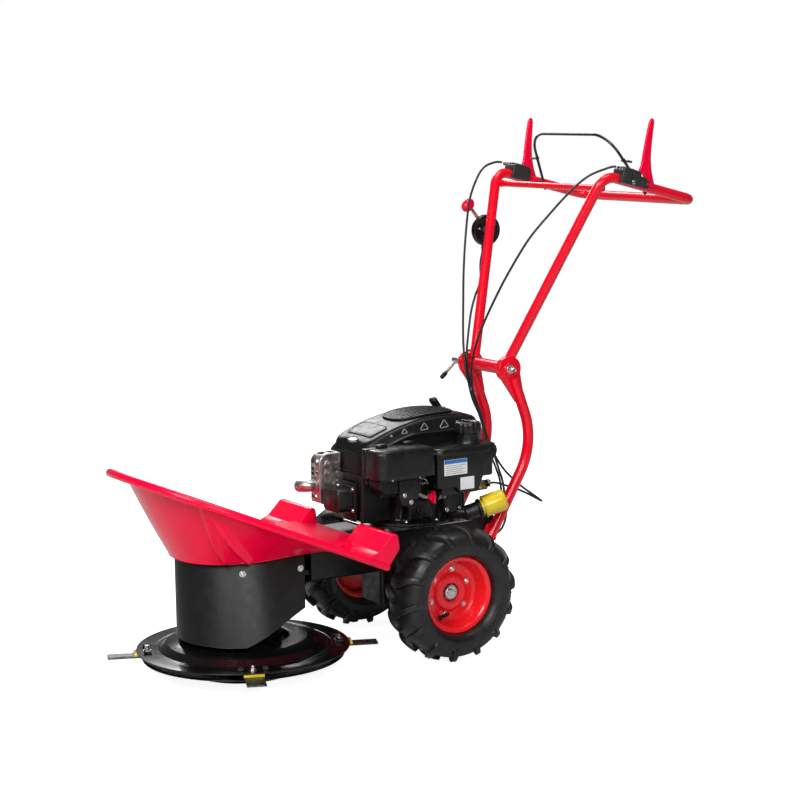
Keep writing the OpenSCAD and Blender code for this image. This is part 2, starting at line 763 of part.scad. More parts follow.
left_route = [
    [238, 478, 1154], [225, 462, 1150], [200, 420, 1130], [170, 385, 1090], [140, 350, 1040],
    [110, 310, 980], [75, 275, 900], [45, 255, 835], [15, 240, 770], [-5, 230, 715], [-25, 230, 660],
    [-30, 235, 620], [-35, 242, 580], [-30, 258, 530], [-20, 270, 480], [0, 275, 445], [20, 280, 400],
    [30, 285, 365], [42, 285, 295], [45, 272, 260], [45, 250, 244], [45, 226, 240]
];
right_route = [
    [-238, 478, 1154], [-235, 455, 1155], [-225, 415, 1145], [-215, 385, 1120], [-200, 350, 1065],
    [-175, 320, 985], [-150, 295, 895], [-110, 265, 810], [-75, 240, 725], [-50, 228, 665],
    [-50, 238, 615], [-50, 250, 573], [-45, 270, 525], [-32, 275, 480], [-12, 275, 440], [8, 280, 400],
    [18, 285, 365], [28, 285, 295], [32, 272, 258], [32, 250, 240], [32, 226, 236]
];
throttle_route = [
    [-212, 400, 939], [-205, 385, 900], [-185, 370, 855], [-165, 340, 820], [-140, 310, 785],
    [-95, 270, 738], [-58, 238, 686], [-60, 242, 650], [-65, 256, 608], [-70, 272, 570],
    [-60, 284, 525], [-45, 288, 480], [-15, 290, 435], [10, 300, 400], [20, 320, 375], [30, 345, 350],
    [40, 370, 330], [48, 386, 316], [54, 386, 314], [58, 370, 322], [60, 340, 338], [60, 305, 355],
    [64, 265, 370], [82, 225, 383], [102, 196, 389]
];

module cable(route) { color("#2b2b2c") swept(smooth(route, 2), cable_r, 8); }
module cable_left() { cable(left_route); }
module cable_right() { cable(right_route); }
module cable_throttle() { cable(throttle_route); }

// ---- Engine pieces that move ----

module air_cleaner_cover() {
    color(black) difference() {
        round_box([99.8, -165, 442], [168, -2, 512], 24);
        round_box([90, -161, 446], [164, -6, 508], 20);
    }
    color(black) for (y = [-132, -60]) translate([102, y, 512]) cube([20, 26, 7]);
}

module fuel_cap() {
    color(black) translate([114, 122, 524.3]) {
        difference() {
            cylinder(r = 33, h = 26);
            for (a = [0:30:330]) rotate([0, 0, a]) translate([35, 0, -1]) cylinder(r = 4, h = 30);
        }
        translate([0, 0, -14]) cylinder(r = 22.6, h = 15);
    }
}

module fuel_tap() {
    color(red) {
        along_x([112, 14, 378]) cylinder(r = 10, h = 12);
        translate([122, 11, 366]) cube([8, 6, 24]);
    }
    color(zinc) along_x([99, 14, 378]) cylinder(r = 4, h = 14);
}

module starter_grip() {
    color(black) at_starter() {
        translate([0, 0, 52]) cylinder(r1 = 8, r2 = 7.5, h = 32);
        translate([0, 0, 84]) hull() {
            translate([-7, 0, 6]) sphere(r = 8, $fn = 24);
            translate([7, 0, 6]) sphere(r = 8, $fn = 24);
        }
    }
}

main_beam();
engine_plate();
drum_shroud();
frame_bolts();
debris_shield();
gearbox_case();
shaft_bearings();
spindle_housing();
handle_masts();
blade_belt();
drive_belt();
crankcase();
cylinder_block();  // cylinder
valve_cover();
muffler();
muffler_guard();
blower_housing();
air_filter();
carburettor();
fuel_tank();
oil_filter();
control_bracket();
crankshaft();
flywheel();
engine_pulley();
spindle_shaft();
rotor_pulley();
drum_tube();
cutting_disc();
blade_bolts();
blade_clips();
blade(0);  // blade_1
blade(1);  // blade_2
blade(2);  // blade_3
blade(3);  // blade_4
skid_saucer();
axle_shaft();
drive_worm();
tyre();  // tyre_left
rim();  // rim_left
wheel_bolts();  // wheel_bolts_left
mirror([1, 0, 0]) tyre();  // tyre_right
mirror([1, 0, 0]) rim();  // rim_right
mirror([1, 0, 0]) wheel_bolts();  // wheel_bolts_right
handle_frame();
pivot_bolt();
lever_housings();
throttle_housing();
clamp_lever();
lever_left();
lever_right();
bail();
throttle_lever();
cable_left();
cable_right();
cable_throttle();
air_cleaner_cover();
fuel_cap();
fuel_tap();
starter_grip();
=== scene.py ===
import json
import math

import bmesh
import bpy
from mathutils import Matrix, Vector


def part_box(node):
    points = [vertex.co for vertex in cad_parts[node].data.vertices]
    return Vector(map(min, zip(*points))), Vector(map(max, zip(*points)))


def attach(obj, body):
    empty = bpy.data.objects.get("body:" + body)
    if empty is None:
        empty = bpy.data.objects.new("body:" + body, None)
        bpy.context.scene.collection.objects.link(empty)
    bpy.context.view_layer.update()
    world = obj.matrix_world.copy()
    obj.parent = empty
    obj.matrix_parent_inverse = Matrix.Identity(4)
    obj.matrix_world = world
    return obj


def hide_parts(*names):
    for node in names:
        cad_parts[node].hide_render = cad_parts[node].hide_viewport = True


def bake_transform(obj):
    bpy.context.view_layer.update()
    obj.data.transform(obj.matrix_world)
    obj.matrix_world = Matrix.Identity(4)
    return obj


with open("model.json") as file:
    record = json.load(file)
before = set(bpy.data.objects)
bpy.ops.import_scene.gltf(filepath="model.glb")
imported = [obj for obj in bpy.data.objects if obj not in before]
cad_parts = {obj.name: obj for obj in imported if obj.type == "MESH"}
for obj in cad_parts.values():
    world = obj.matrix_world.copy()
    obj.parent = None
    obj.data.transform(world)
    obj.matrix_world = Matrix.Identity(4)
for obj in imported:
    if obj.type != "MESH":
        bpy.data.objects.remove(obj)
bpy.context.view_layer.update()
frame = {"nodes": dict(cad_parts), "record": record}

# Every size and place below is in millimetres, in the frame's axes; a mesh is scaled to metres as it is made.
MM = 0.001
X, Y, Z = Vector((1, 0, 0)), Vector((0, 1, 0)), Vector((0, 0, 1))


def node_box(name):
    """A CAD node's lowest and highest corners."""
    low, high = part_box(name)
    return low / MM, high / MM


def centre_of(name):
    low, high = node_box(name)
    return (low + high) / 2


# ---- Places taken from the frame ----

WHEEL = centre_of("rim_left")
WHEEL.x = centre_of("tyre_left").x
TYRE_R = WHEEL.z
DRUM = centre_of("spindle_shaft")
DRUM.z = 0
HINGE = centre_of("pivot_bolt")
HINGE.x = 0
CRANK = centre_of("crankshaft")
CRANK.z = 0
BEAM_TOP = node_box("main_beam")[1].z
AT_CRANK = Matrix.Translation(CRANK)
GRIP_HALF = 224

# ---- Mesh helpers ----


def make(name, verts, faces, sharp=32):
    mesh = bpy.data.meshes.new(name)
    mesh.from_pydata([Vector(v) * MM for v in verts], [], faces)
    piece = bpy.data.objects.new(name, mesh)
    bpy.context.scene.collection.objects.link(piece)
    return tidy_mesh(piece, sharp)


def tidy_mesh(piece, sharp=32):
    """Merges doubled points, turns the faces outward and shades the mesh smooth between sharp edges."""
    work = bmesh.new()
    work.from_mesh(piece.data)
    bmesh.ops.remove_doubles(work, verts=work.verts, dist=0.01 * MM)
    bmesh.ops.dissolve_degenerate(work, edges=work.edges, dist=0.005 * MM)
    bmesh.ops.recalc_face_normals(work, faces=work.faces)
    work.to_mesh(piece.data)
    work.free()
    for polygon in piece.data.polygons:
        polygon.use_smooth = True
    piece.data.set_sharp_from_angle(angle=math.radians(sharp))
    return piece


def soften(piece, width, segments=3, angle=28, sharp=32):
    """Rounds every edge that is sharper than angle."""
    work = bmesh.new()
    work.from_mesh(piece.data)
    edges = [e for e in work.edges if len(e.link_faces) == 2 and e.calc_face_angle(0) > math.radians(angle)]
    bmesh.ops.bevel(work, geom=edges, offset=width * MM, segments=segments, profile=0.5,
                    affect="EDGES", clamp_overlap=True)
    work.to_mesh(piece.data)
    work.free()
    return tidy_mesh(piece, sharp)


def settle(piece, sharp=32):
    """Applies the modifiers, so that the mesh is final."""
    graph = bpy.context.evaluated_depsgraph_get()
    mesh = bpy.data.meshes.new_from_object(piece.evaluated_get(graph))
    piece.modifiers.clear()
    piece.data = mesh
    return tidy_mesh(piece, sharp)


def subdivide(piece, levels=2, sharp=60):
    modifier = piece.modifiers.new("smooth", "SUBSURF")
    modifier.levels = modifier.render_levels = levels
    return settle(piece, sharp)


def cut(piece, cutters, sharp=32):
    """Takes the cutters' shapes out of a piece."""
    tool = join("cutter", cutters)
    modifier = piece.modifiers.new("cut", "BOOLEAN")
    modifier.operation, modifier.solver, modifier.object = "DIFFERENCE", "EXACT", tool
    modifier.use_self = True
    settle(piece, sharp)
    bpy.data.objects.remove(tool)
    return piece


def join(name, parts):
    """One piece of many, each with its own materials."""
    work = bmesh.new()
    materials = []
    for part in parts:
        start = len(work.faces)
        part.data.transform(part.matrix_world)
        work.from_mesh(part.data)
        work.faces.ensure_lookup_table()
        own = list(part.data.materials) or [None]
        for material in own:
            if material not in materials:
                materials.append(material)
        for face in work.faces[start:]:
            face.material_index = materials.index(own[min(face.material_index, len(own) - 1)])
        bpy.data.objects.remove(part)
    mesh = bpy.data.meshes.new(name)
    work.to_mesh(mesh)
    work.free()
    for material in materials:
        mesh.materials.append(material)
    piece = bpy.data.objects.new(name, mesh)
    bpy.context.scene.collection.objects.link(piece)
    return piece


def move(piece, matrix):
    """Moves a mesh; the matrix's shift is in millimetres."""
    matrix = matrix.copy()
    matrix.translation *= MM
    piece.data.transform(matrix)
    if matrix.determinant() < 0:
        piece.data.flip_normals()
    return piece


def copy_of(piece, matrix=None):
    other = bpy.data.objects.new(piece.name, piece.data.copy())
    bpy.context.scene.collection.objects.link(other)
    return move(other, matrix) if matrix else other


def aim(place, direction, spin=0):
    """The frame that stands at place with its Z axis along direction."""
    turn = Z.rotation_difference(Vector(direction)).to_matrix().to_4x4()
    return Matrix.Translation(Vector(place)) @ turn @ Matrix.Rotation(math.radians(spin), 4, "Z")


MIRROR = Matrix.Diagonal((-1, 1, 1, 1))


def rounded(points, radius, steps=5, closed=True):
    """Points of a line whose corners are rounded; radius is one number, or one for each point."""
    out = []
    for i, point in enumerate(points):
        r = radius[i] if isinstance(radius, (list, tuple)) else radius
        b = Vector(point)
        if r <= 0 or (not closed and i in (0, len(points) - 1)):
            out.append(b)
            continue
        u = Vector(points[i - 1]) - b
        v = Vector(points[(i + 1) % len(points)]) - b
        reach_limit = 0.49 * min(u.length, v.length)
        u.normalize()
        v.normalize()
        half = u.angle(v) / 2
        reach = min(r / math.tan(half), reach_limit)
        centre = b + (u + v).normalized() * reach / math.cos(half)
        start, end = b + u * reach - centre, b + v * reach - centre
        turn = start.angle(end)
        for k in range(steps + 1):
            t = k / steps
            out.append(centre
                       + (math.sin((1 - t) * turn) * start + math.sin(t * turn) * end) / math.sin(turn))
    return out


def curve_through(points, steps):
    """A smooth line through every point."""
    points = [Vector(p) for p in points]
    last = len(points) - 1
    out = []
    for i in range(last):
        a, b, c, d = points[max(i - 1, 0)], points[i], points[i + 1], points[min(i + 2, last)]
        for k in range(steps):
            t = k / steps
            out.append(0.5 * (2 * b + (c - a) * t + (2 * a - 5 * b + 4 * c - d) * t * t
                              + (3 * b - a - 3 * c + d) * t ** 3))
    return out + [points[last]]


def loft(name, rings, caps=True, loop=False, sharp=32):
    """A skin over rings of points that all have the same count."""
    count = len(rings[0])
    spans = len(rings) if loop else len(rings) - 1
    faces = []
    for i in range(spans):
        a, b = i * count, (i + 1) % len(rings) * count
        faces += [(a + k, b + k, b + (k + 1) % count, a + (k + 1) % count) for k in range(count)]
    if caps and not loop:
        last = (len(rings) - 1) * count
        faces += [tuple(range(count)), tuple(range(last + count - 1, last - 1, -1))]
    return make(name, [p for ring in rings for p in ring], faces, sharp)


def sweep(name, path, section, loop=False, sharp=40, start=(0.31, 0.17, 0.93)):
    """A loft of section(t), a list of (across, up) points, carried along a path without twist."""
    path = [Vector(p) for p in path]
    last = len(path) - 1
    normal = Vector(start)
    rings = []
    for i, p in enumerate(path):
        along = (path[min(i + 1, last)] - path[max(i - 1, 0)]).normalized()
        normal = (normal - along * normal.dot(along)).normalized()
        side = along.cross(normal)
        rings.append([p + normal * a + side * b for a, b in section(i / last)])
    return loft(name, rings, loop=loop, sharp=sharp)


def circle(r, sides=20, ratio=1.0):
    return [(r * math.cos(2 * math.pi * k / sides), r * ratio * math.sin(2 * math.pi * k / sides))
            for k in range(sides)]


def tube(name, path, r, sides=20, sharp=40):
    """A round rod with eased ends."""
    path = [Vector(p) for p in path]
    ease = min(0.8, 0.3 * r)
    first, last = (path[0] - path[1]).normalized(), (path[-1] - path[-2]).normalized()
    path = [path[0], path[0] - first * ease] + path[1:-1] + [path[-1] - last * ease, path[-1]]
    return sweep(name, path, lambda t: circle(r - ease if t in (0, 1) else r, sides), sharp=sharp)


def lathe(name, profile, frame_at=Matrix.Identity(4), segments=64, sharp=32, closed=True):
    """A profile of (radius, height) points turned about the frame's Z axis."""
    rings = []
    for k in range(segments):
        a = 2 * math.pi * k / segments
        rings.append([(r * math.cos(a), r * math.sin(a), z) for r, z in profile])
    count = len(profile)
    spans = count if closed else count - 1
    faces = []
    for i in range(segments):
        a, b = i * count, (i + 1) % segments * count
        faces += [(a + k, b + k, b + (k + 1) % count, a + (k + 1) % count) for k in range(spans)]
    piece = make(name, [p for ring in rings for p in ring], faces, sharp)
    return tidy_mesh(move(piece, frame_at), sharp)


def prism(name, outline, low, high, axis="Z", bevel=1.0, segments=3, sharp=32):
    """An outline pushed along an axis, with its edges rounded."""
    order = {"X": (2, 0, 1), "Y": (0, 2, 1), "Z": (0, 1, 2)}[axis]
    rings = [[tuple((*p, end)[k] for k in order) for p in outline] for end in (low, high)]
    piece = loft(name, rings, sharp=sharp)
    return soften(piece, bevel, segments, sharp=sharp) if bevel else piece


def rectangle(low, high, r=0, steps=5):
    corners = [(low[0], low[1]), (high[0], low[1]), (high[0], high[1]), (low[0], high[1])]
    return rounded(corners, r, steps) if r else corners


def block(name, low, high, r=0, bevel=1.0, segments=3, axis="Z"):
    """A box with corners of radius r about an axis and rounded edges."""
    i, j, k = {"X": (1, 2, 0), "Y": (0, 2, 1), "Z": (0, 1, 2)}[axis]
    return prism(name, rectangle((low[i], low[j]), (high[i], high[j]), r), low[k], high[k], axis, bevel,
                 segments)


def hex_head(name, place, direction, r, h, washer=1.5, spin=0):
    """A hexagon head with chamfered corners on a washer."""
    top = [(0, h), (r * 0.8, h), (r, h - 0.16 * r), (r, 0), (0, 0)]
    head = lathe(name, top, segments=6, sharp=25)
    parts = [soften(head, 0.25, 2, 20)]
    if washer:
        parts.append(lathe(name,
                           [(0, 0.6), (r * washer - 0.5, 0.6), (r * washer, 0.2), (r * washer, -0.8),
                            (0, -0.8)], segments=40))
    return move(join(name, parts), aim(place, direction, spin))


def socket_screw(name, place, direction, r, h):
    """A round head with a recess in its crown."""
    profile = [(0, h * 0.45), (r * 0.42, h * 0.45), (r * 0.45, h * 0.9), (r * 0.7, h * 0.86),
               (r * 0.93, h * 0.55), (r, 0.12 * h), (r, 0), (0, 0)]
    return lathe(name, profile, aim(place, direction), 32)


# ---- Materials ----


def material(name, colour, roughness, metallic=0.0, coat=0.0, tone=0.10, tone_size=30.0, smudge=0.06,
             smudge_size=18.0, grain=0.0, grain_size=1.0, worn=None, worn_at=(0.53, 0.60), dust=None,
             dust_share=0.3, stretch=(1, 1, 1), specular=0.4):
    """A procedural finish: drifting colour, smudged gloss, grain in the bump and wear at the edges."""
    made = bpy.data.materials.new(name)
    made.use_nodes = True
    nodes, links = made.node_tree.nodes, made.node_tree.links
    shader = nodes["Principled BSDF"]
    shader.inputs["Metallic"].default_value = metallic
    shader.inputs["Coat Weight"].default_value = coat
    shader.inputs["Coat Roughness"].default_value = 0.05
    if not metallic:
        shader.inputs["Specular IOR Level"].default_value = specular
    place = nodes.new("ShaderNodeTexCoord").outputs["Object"]
    if stretch != (1, 1, 1):
        mapping = nodes.new("ShaderNodeMapping")
        mapping.inputs["Scale"].default_value = stretch
        links.new(place, mapping.inputs["Vector"])
        place = mapping.outputs["Vector"]

    def clouds(size, detail=5.0, rough=0.6):
        texture = nodes.new("ShaderNodeTexNoise")
        texture.inputs["Scale"].default_value = 1 / (size * MM)
        texture.inputs["Detail"].default_value = detail
        texture.inputs["Roughness"].default_value = rough
        links.new(place, texture.inputs["Vector"])
        return texture.outputs["Fac"]

    def remap(value, low, high, to_low, to_high):
        node = nodes.new("ShaderNodeMapRange")
        for socket, number in zip(("From Min", "From Max", "To Min", "To Max"),
                                  (low, high, to_low, to_high)):
            node.inputs[socket].default_value = number
        links.new(value, node.inputs["Value"])
        return node.outputs["Result"]

    def mix_socket(node, label):
        return [s for s in node.inputs if s.name == label and s.type == "RGBA"][0]

    def colour_mix(share, a, b):
        node = nodes.new("ShaderNodeMix")
        node.data_type = "RGBA"
        links.new(share, node.inputs[0])
        for label, value in (("A", a), ("B", b)):
            socket = mix_socket(node, label)
            if isinstance(value, bpy.types.NodeSocket):
                links.new(value, socket)
            else:
                socket.default_value = (*value, 1)
        return [s for s in node.outputs if s.type == "RGBA"][0]

    darker = [c * (1 - tone) for c in colour]
    lighter = [min(1, c * (1 + tone) + 0.004 * tone) for c in colour]
    result = colour_mix(remap(clouds(tone_size), 0.35, 0.65, 0, 1), darker, lighter)
    if dust:
        result = colour_mix(remap(clouds(tone_size * 2.3, 8, 0.7), 0.42, 0.72, 0, dust_share), result, dust)
    if worn:
        edge = remap(nodes.new("ShaderNodeNewGeometry").outputs["Pointiness"], worn_at[0], worn_at[1], 0, 1)
        patch = remap(clouds(6.0, 8, 0.7), 0.45, 0.6, 0, 1)
        both = nodes.new("ShaderNodeMath")
        both.operation = "MULTIPLY"
        links.new(edge, both.inputs[0])
        links.new(patch, both.inputs[1])
        result = colour_mix(both.outputs[0], result, worn)
    links.new(result, shader.inputs["Base Color"])
    gloss = remap(clouds(smudge_size, 2, 0.5), 0.35, 0.65, max(0.02, roughness - smudge),
                  roughness + smudge)
    links.new(gloss, shader.inputs["Roughness"])
    if grain:
        bump = nodes.new("ShaderNodeBump")
        bump.inputs["Strength"].default_value = grain
        bump.inputs["Distance"].default_value = 0.2 * grain_size * MM
        links.new(clouds(grain_size, 3), bump.inputs["Height"])
        links.new(bump.outputs["Normal"], shader.inputs["Normal"])
    return made


FINISH = {
    "red_paint": material("red_paint", (0.78, 0.001, 0.018), 0.24, coat=0.25, tone=0.04, smudge=0.03,
                          grain=0.012, grain_size=9,
                          specular=0.3),
    "red_plastic": material("red_plastic", (0.88, 0.0, 0.042), 0.24, coat=0.16, tone=0.04, tone_size=60,
                            smudge=0.03, grain=0.012, grain_size=10, specular=0.2),
    "rim_red": material("rim_red", (0.82, 0.010, 0.018), 0.26, coat=0.3, tone=0.04, smudge=0.03,
                        grain=0.012,
                        grain_size=9),
    "black_paint": material("black_paint", (0.004, 0.004, 0.0045), 0.24, coat=0.3, tone=0.15, smudge=0.04,
                            grain=0.012, grain_size=10, dust=(0.03, 0.03, 0.029), dust_share=0.1),
    "black_gloss": material("black_gloss", (0.003, 0.003, 0.0033), 0.2, coat=0.2, tone=0.2, tone_size=60,
                            smudge=0.02, smudge_size=60, grain=0.01, grain_size=14, specular=0.34),
    "black_satin": material("black_satin", (0.005, 0.005, 0.0055), 0.42, tone=0.15, smudge=0.04, grain=0.05,
                            grain_size=1.6, dust=(0.03, 0.03, 0.029), dust_share=0.1),
    "black_plastic": material("black_plastic", (0.006, 0.006, 0.006), 0.33, tone=0.15, smudge=0.08,
                              grain=0.45,
                              grain_size=0.7, dust=(0.03, 0.03, 0.028), dust_share=0.1),
    "gloss_plastic": material("gloss_plastic", (0.005, 0.005, 0.005), 0.4, tone=0.15, smudge=0.05,
                              grain=0.12, grain_size=1.4, specular=0.3),
    "grey_plastic": material("grey_plastic", (0.028, 0.028, 0.029), 0.36, tone=0.15, smudge=0.06, grain=0.2,
                             grain_size=0.8),
    "yellow_paint": material("yellow_paint", (0.72, 0.53, 0.012), 0.3, coat=0.3, tone=0.08, grain=0.1,
                             grain_size=1.5),
    "tyre": material("tyre", (0.006, 0.006, 0.0062), 0.38, tone=0.25, tone_size=22, smudge=0.12,
                     smudge_size=30,
                     grain=0.4, grain_size=1.1, dust=(0.05, 0.048, 0.044), dust_share=0.25),
    "rubber": material("rubber", (0.012, 0.012, 0.0125), 0.45, tone=0.2, smudge=0.1, grain=0.3,
                       grain_size=0.8),
    "zinc": material("zinc", (0.62, 0.63, 0.62), 0.27, 1.0, tone=0.14, tone_size=5, smudge=0.1,
                     smudge_size=4,
                     grain=0.2, grain_size=0.6),
    "steel": material("steel", (0.40, 0.40, 0.41), 0.32, 1.0, tone=0.15, tone_size=12, smudge=0.1,
                      grain=0.2,
                      grain_size=0.9),
    "blade_steel": material("blade_steel", (0.10, 0.105, 0.115), 0.38, 0.9, tone=0.25, tone_size=14,
                            smudge=0.12,
                            grain=0.3, grain_size=0.8, worn=(0.45, 0.45, 0.46)),
    "cast": material("cast", (0.006, 0.006, 0.006), 0.36, tone=0.2, smudge=0.1, grain=0.8, grain_size=1.6,
                     dust=(0.06, 0.058, 0.055), dust_share=0.15),
    "aluminium": material("aluminium", (0.55, 0.56, 0.57), 0.36, 1.0, tone=0.12, grain=0.5, grain_size=1.4),
    "muffler_metal": material("muffler_metal", (0.50, 0.48, 0.46), 0.42, 1.0, tone=0.18, tone_size=16,
                              smudge=0.12,
                              grain=0.25, grain_size=1.4, dust=(0.30, 0.20, 0.13), dust_share=0.18),
    "paper": material("paper", (0.66, 0.58, 0.40), 0.85, tone=0.12, tone_size=8, grain=0.6, grain_size=0.9),
    "bracket": material("bracket", (0.34, 0.29, 0.13), 0.36, 0.8, tone=0.3, tone_size=9, smudge=0.12,
                        grain=0.2,
                        grain_size=1.2),
    "label": material("label", (0.74, 0.76, 0.77), 0.32, coat=0.3, tone=0.04, grain=0.05, grain_size=1.0),
    "label_blue": material("label_blue", (0.03, 0.16, 0.50), 0.3, coat=0.3, tone=0.08, grain=0.05,
                           grain_size=1.0),
    # Light grey for the fuel hose, its connectors, the label's lines and the blower's eye; on the blower's
    # vent rims the same grey is a painted highlight.
    "hose": material("hose", (0.30, 0.30, 0.28), 0.3, coat=0.2, tone=0.12, tone_size=6, grain=0.1,
                     grain_size=1.0),
    # Near-black matte for the grille's floor and the vents' insides: painted shade for the dark hollows
    # behind the blower's openings.
    "painted_hollow_shade": material("painted_hollow_shade", (0.004, 0.004, 0.004), 0.6, tone=0.2, grain=0.3, grain_size=1.5),
}


def paint(piece, finish):
    piece.data.materials.clear()
    piece.data.materials.append(FINISH[finish])
    return piece


def hand_in(piece, body, slot, *replaced):
    """A finished piece of the object: it rides on a body and may stand for CAD nodes."""
    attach(piece, body)
    if replaced:
        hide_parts(*replaced)
    return piece


for subpart in frame["record"]["subparts"]:
    cad_node = frame["nodes"][subpart["node"]]
    for holder in cad_node.material_slots:
        holder.material = FINISH[subpart["material_slot"]]

# ---- Camera, light and floor ----


def set_camera():
    azimuth, pitch, roll = math.radians(57.54), math.radians(8.48), math.radians(-0.83)
    right = Vector((math.cos(azimuth), math.sin(azimuth), 0))
    back = Vector((math.sin(azimuth) * math.cos(pitch), -math.cos(azimuth) * math.cos(pitch),
                   math.sin(pitch)))
    up = back.cross(right)
    level = (right * math.cos(roll) + up * math.sin(roll), up * math.cos(roll) - right * math.sin(roll))
    camera = bpy.data.objects.new("camera", bpy.data.cameras.new("camera"))
    bpy.context.scene.collection.objects.link(camera)
    turn = Matrix((level[0], level[1], back)).transposed().to_4x4()
    camera.matrix_world = Matrix.Translation((4.1861, -2.6609, 1.3397)) @ turn
    camera.data.lens = 93.06
    camera.data.sensor_width = 36
    camera.data.clip_end = 200
    bpy.context.scene.camera = camera


def soft_box(name, place, target, size, power):
    light = bpy.data.lights.new(name, "AREA")
    light.shape, light.size, light.size_y, light.energy = "RECTANGLE", size[0], size[1], power
    holder = bpy.data.objects.new(name, light)
    bpy.context.scene.collection.objects.link(holder)
    direction = Vector(place) - Vector(target)
    holder.matrix_world = Matrix.Translation(place) @ direction.to_track_quat("Z", "Y").to_matrix().to_4x4()


def set_stage():
    scene = bpy.context.scene
    scene.view_settings.view_transform = "Standard"
    scene.world = bpy.data.worlds.new("studio")
    scene.world.use_nodes = True
    nodes, links = scene.world.node_tree.nodes, scene.world.node_tree.links
    sky = nodes["Background"]
    sky.inputs["Color"].default_value = (1, 1, 1, 1)
    seen = nodes.new("ShaderNodeLightPath").outputs["Is Camera Ray"]
    strength = nodes.new("ShaderNodeMapRange")
    strength.inputs["To Min"].default_value = 0.13
    strength.inputs["To Max"].default_value = 1.0
    links.new(seen, strength.inputs["Value"])
    links.new(strength.outputs["Result"], sky.inputs["Strength"])
    middle = (0, -0.1, 0.5)
    soft_box("key", (2.0, -3.4, 3.4), middle, (1.8, 2.2), 165)
    soft_box("fill", (4.6, -2.0, 2.7), middle, (1.8, 1.8), 95)
    soft_box("rim", (-3.2, 1.0, 2.8), middle, (1.4, 2.4), 85)
    soft_box("top", (0.2, 0.4, 4.2), middle, (1.8, 1.8), 62)
    floor = make("floor", [(-40000, -40000, 0), (40000, -40000, 0), (40000, 40000, 0), (-40000, 40000, 0)],
                 [(0, 1, 2, 3)])
    pale = material("floor", (0.62, 0.62, 0.62), 0.7, tone=0.01, tone_size=900)
    nodes, links = pale.node_tree.nodes, pale.node_tree.links
    seen = nodes.new("ShaderNodeLightPath").outputs["Is Camera Ray"]
    glow = nodes.new("ShaderNodeMapRange")
    glow.inputs["To Max"].default_value = 0.92
    links.new(seen, glow.inputs["Value"])
    shader = nodes["Principled BSDF"]
    shader.inputs["Emission Color"].default_value = (1, 1, 1, 1)
    links.new(glow.outputs["Result"], shader.inputs["Emission Strength"])
    floor.data.materials.append(pale)


# ---- Debris shield ----

RIM_HALF = 257
LIP_R = 10
FRONT_Y = -487


def rim_height(y):
    return 174.3 - 0.432 * y


def shield_line(half, centre_y, rear_y, straight, bend):
    """The shield seen from above: a straight side, a round front, a straight side."""
    near = [(half, rear_y + (centre_y - rear_y) * i / straight) for i in range(straight)]
    front = [(half * math.cos(math.pi * k / bend), centre_y - half * math.sin(math.pi * k / bend))
             for k in range(bend + 1)]
    return near + front + [(-x, y) for x, y in reversed(near)]


def bulge(value, centre, width):
    """A soft ridge, 1 at its centre and 0 beyond its width."""
    t = abs(value - centre) / width
    return 0.5 + 0.5 * math.cos(math.pi * t) if t < 1 else 0.0


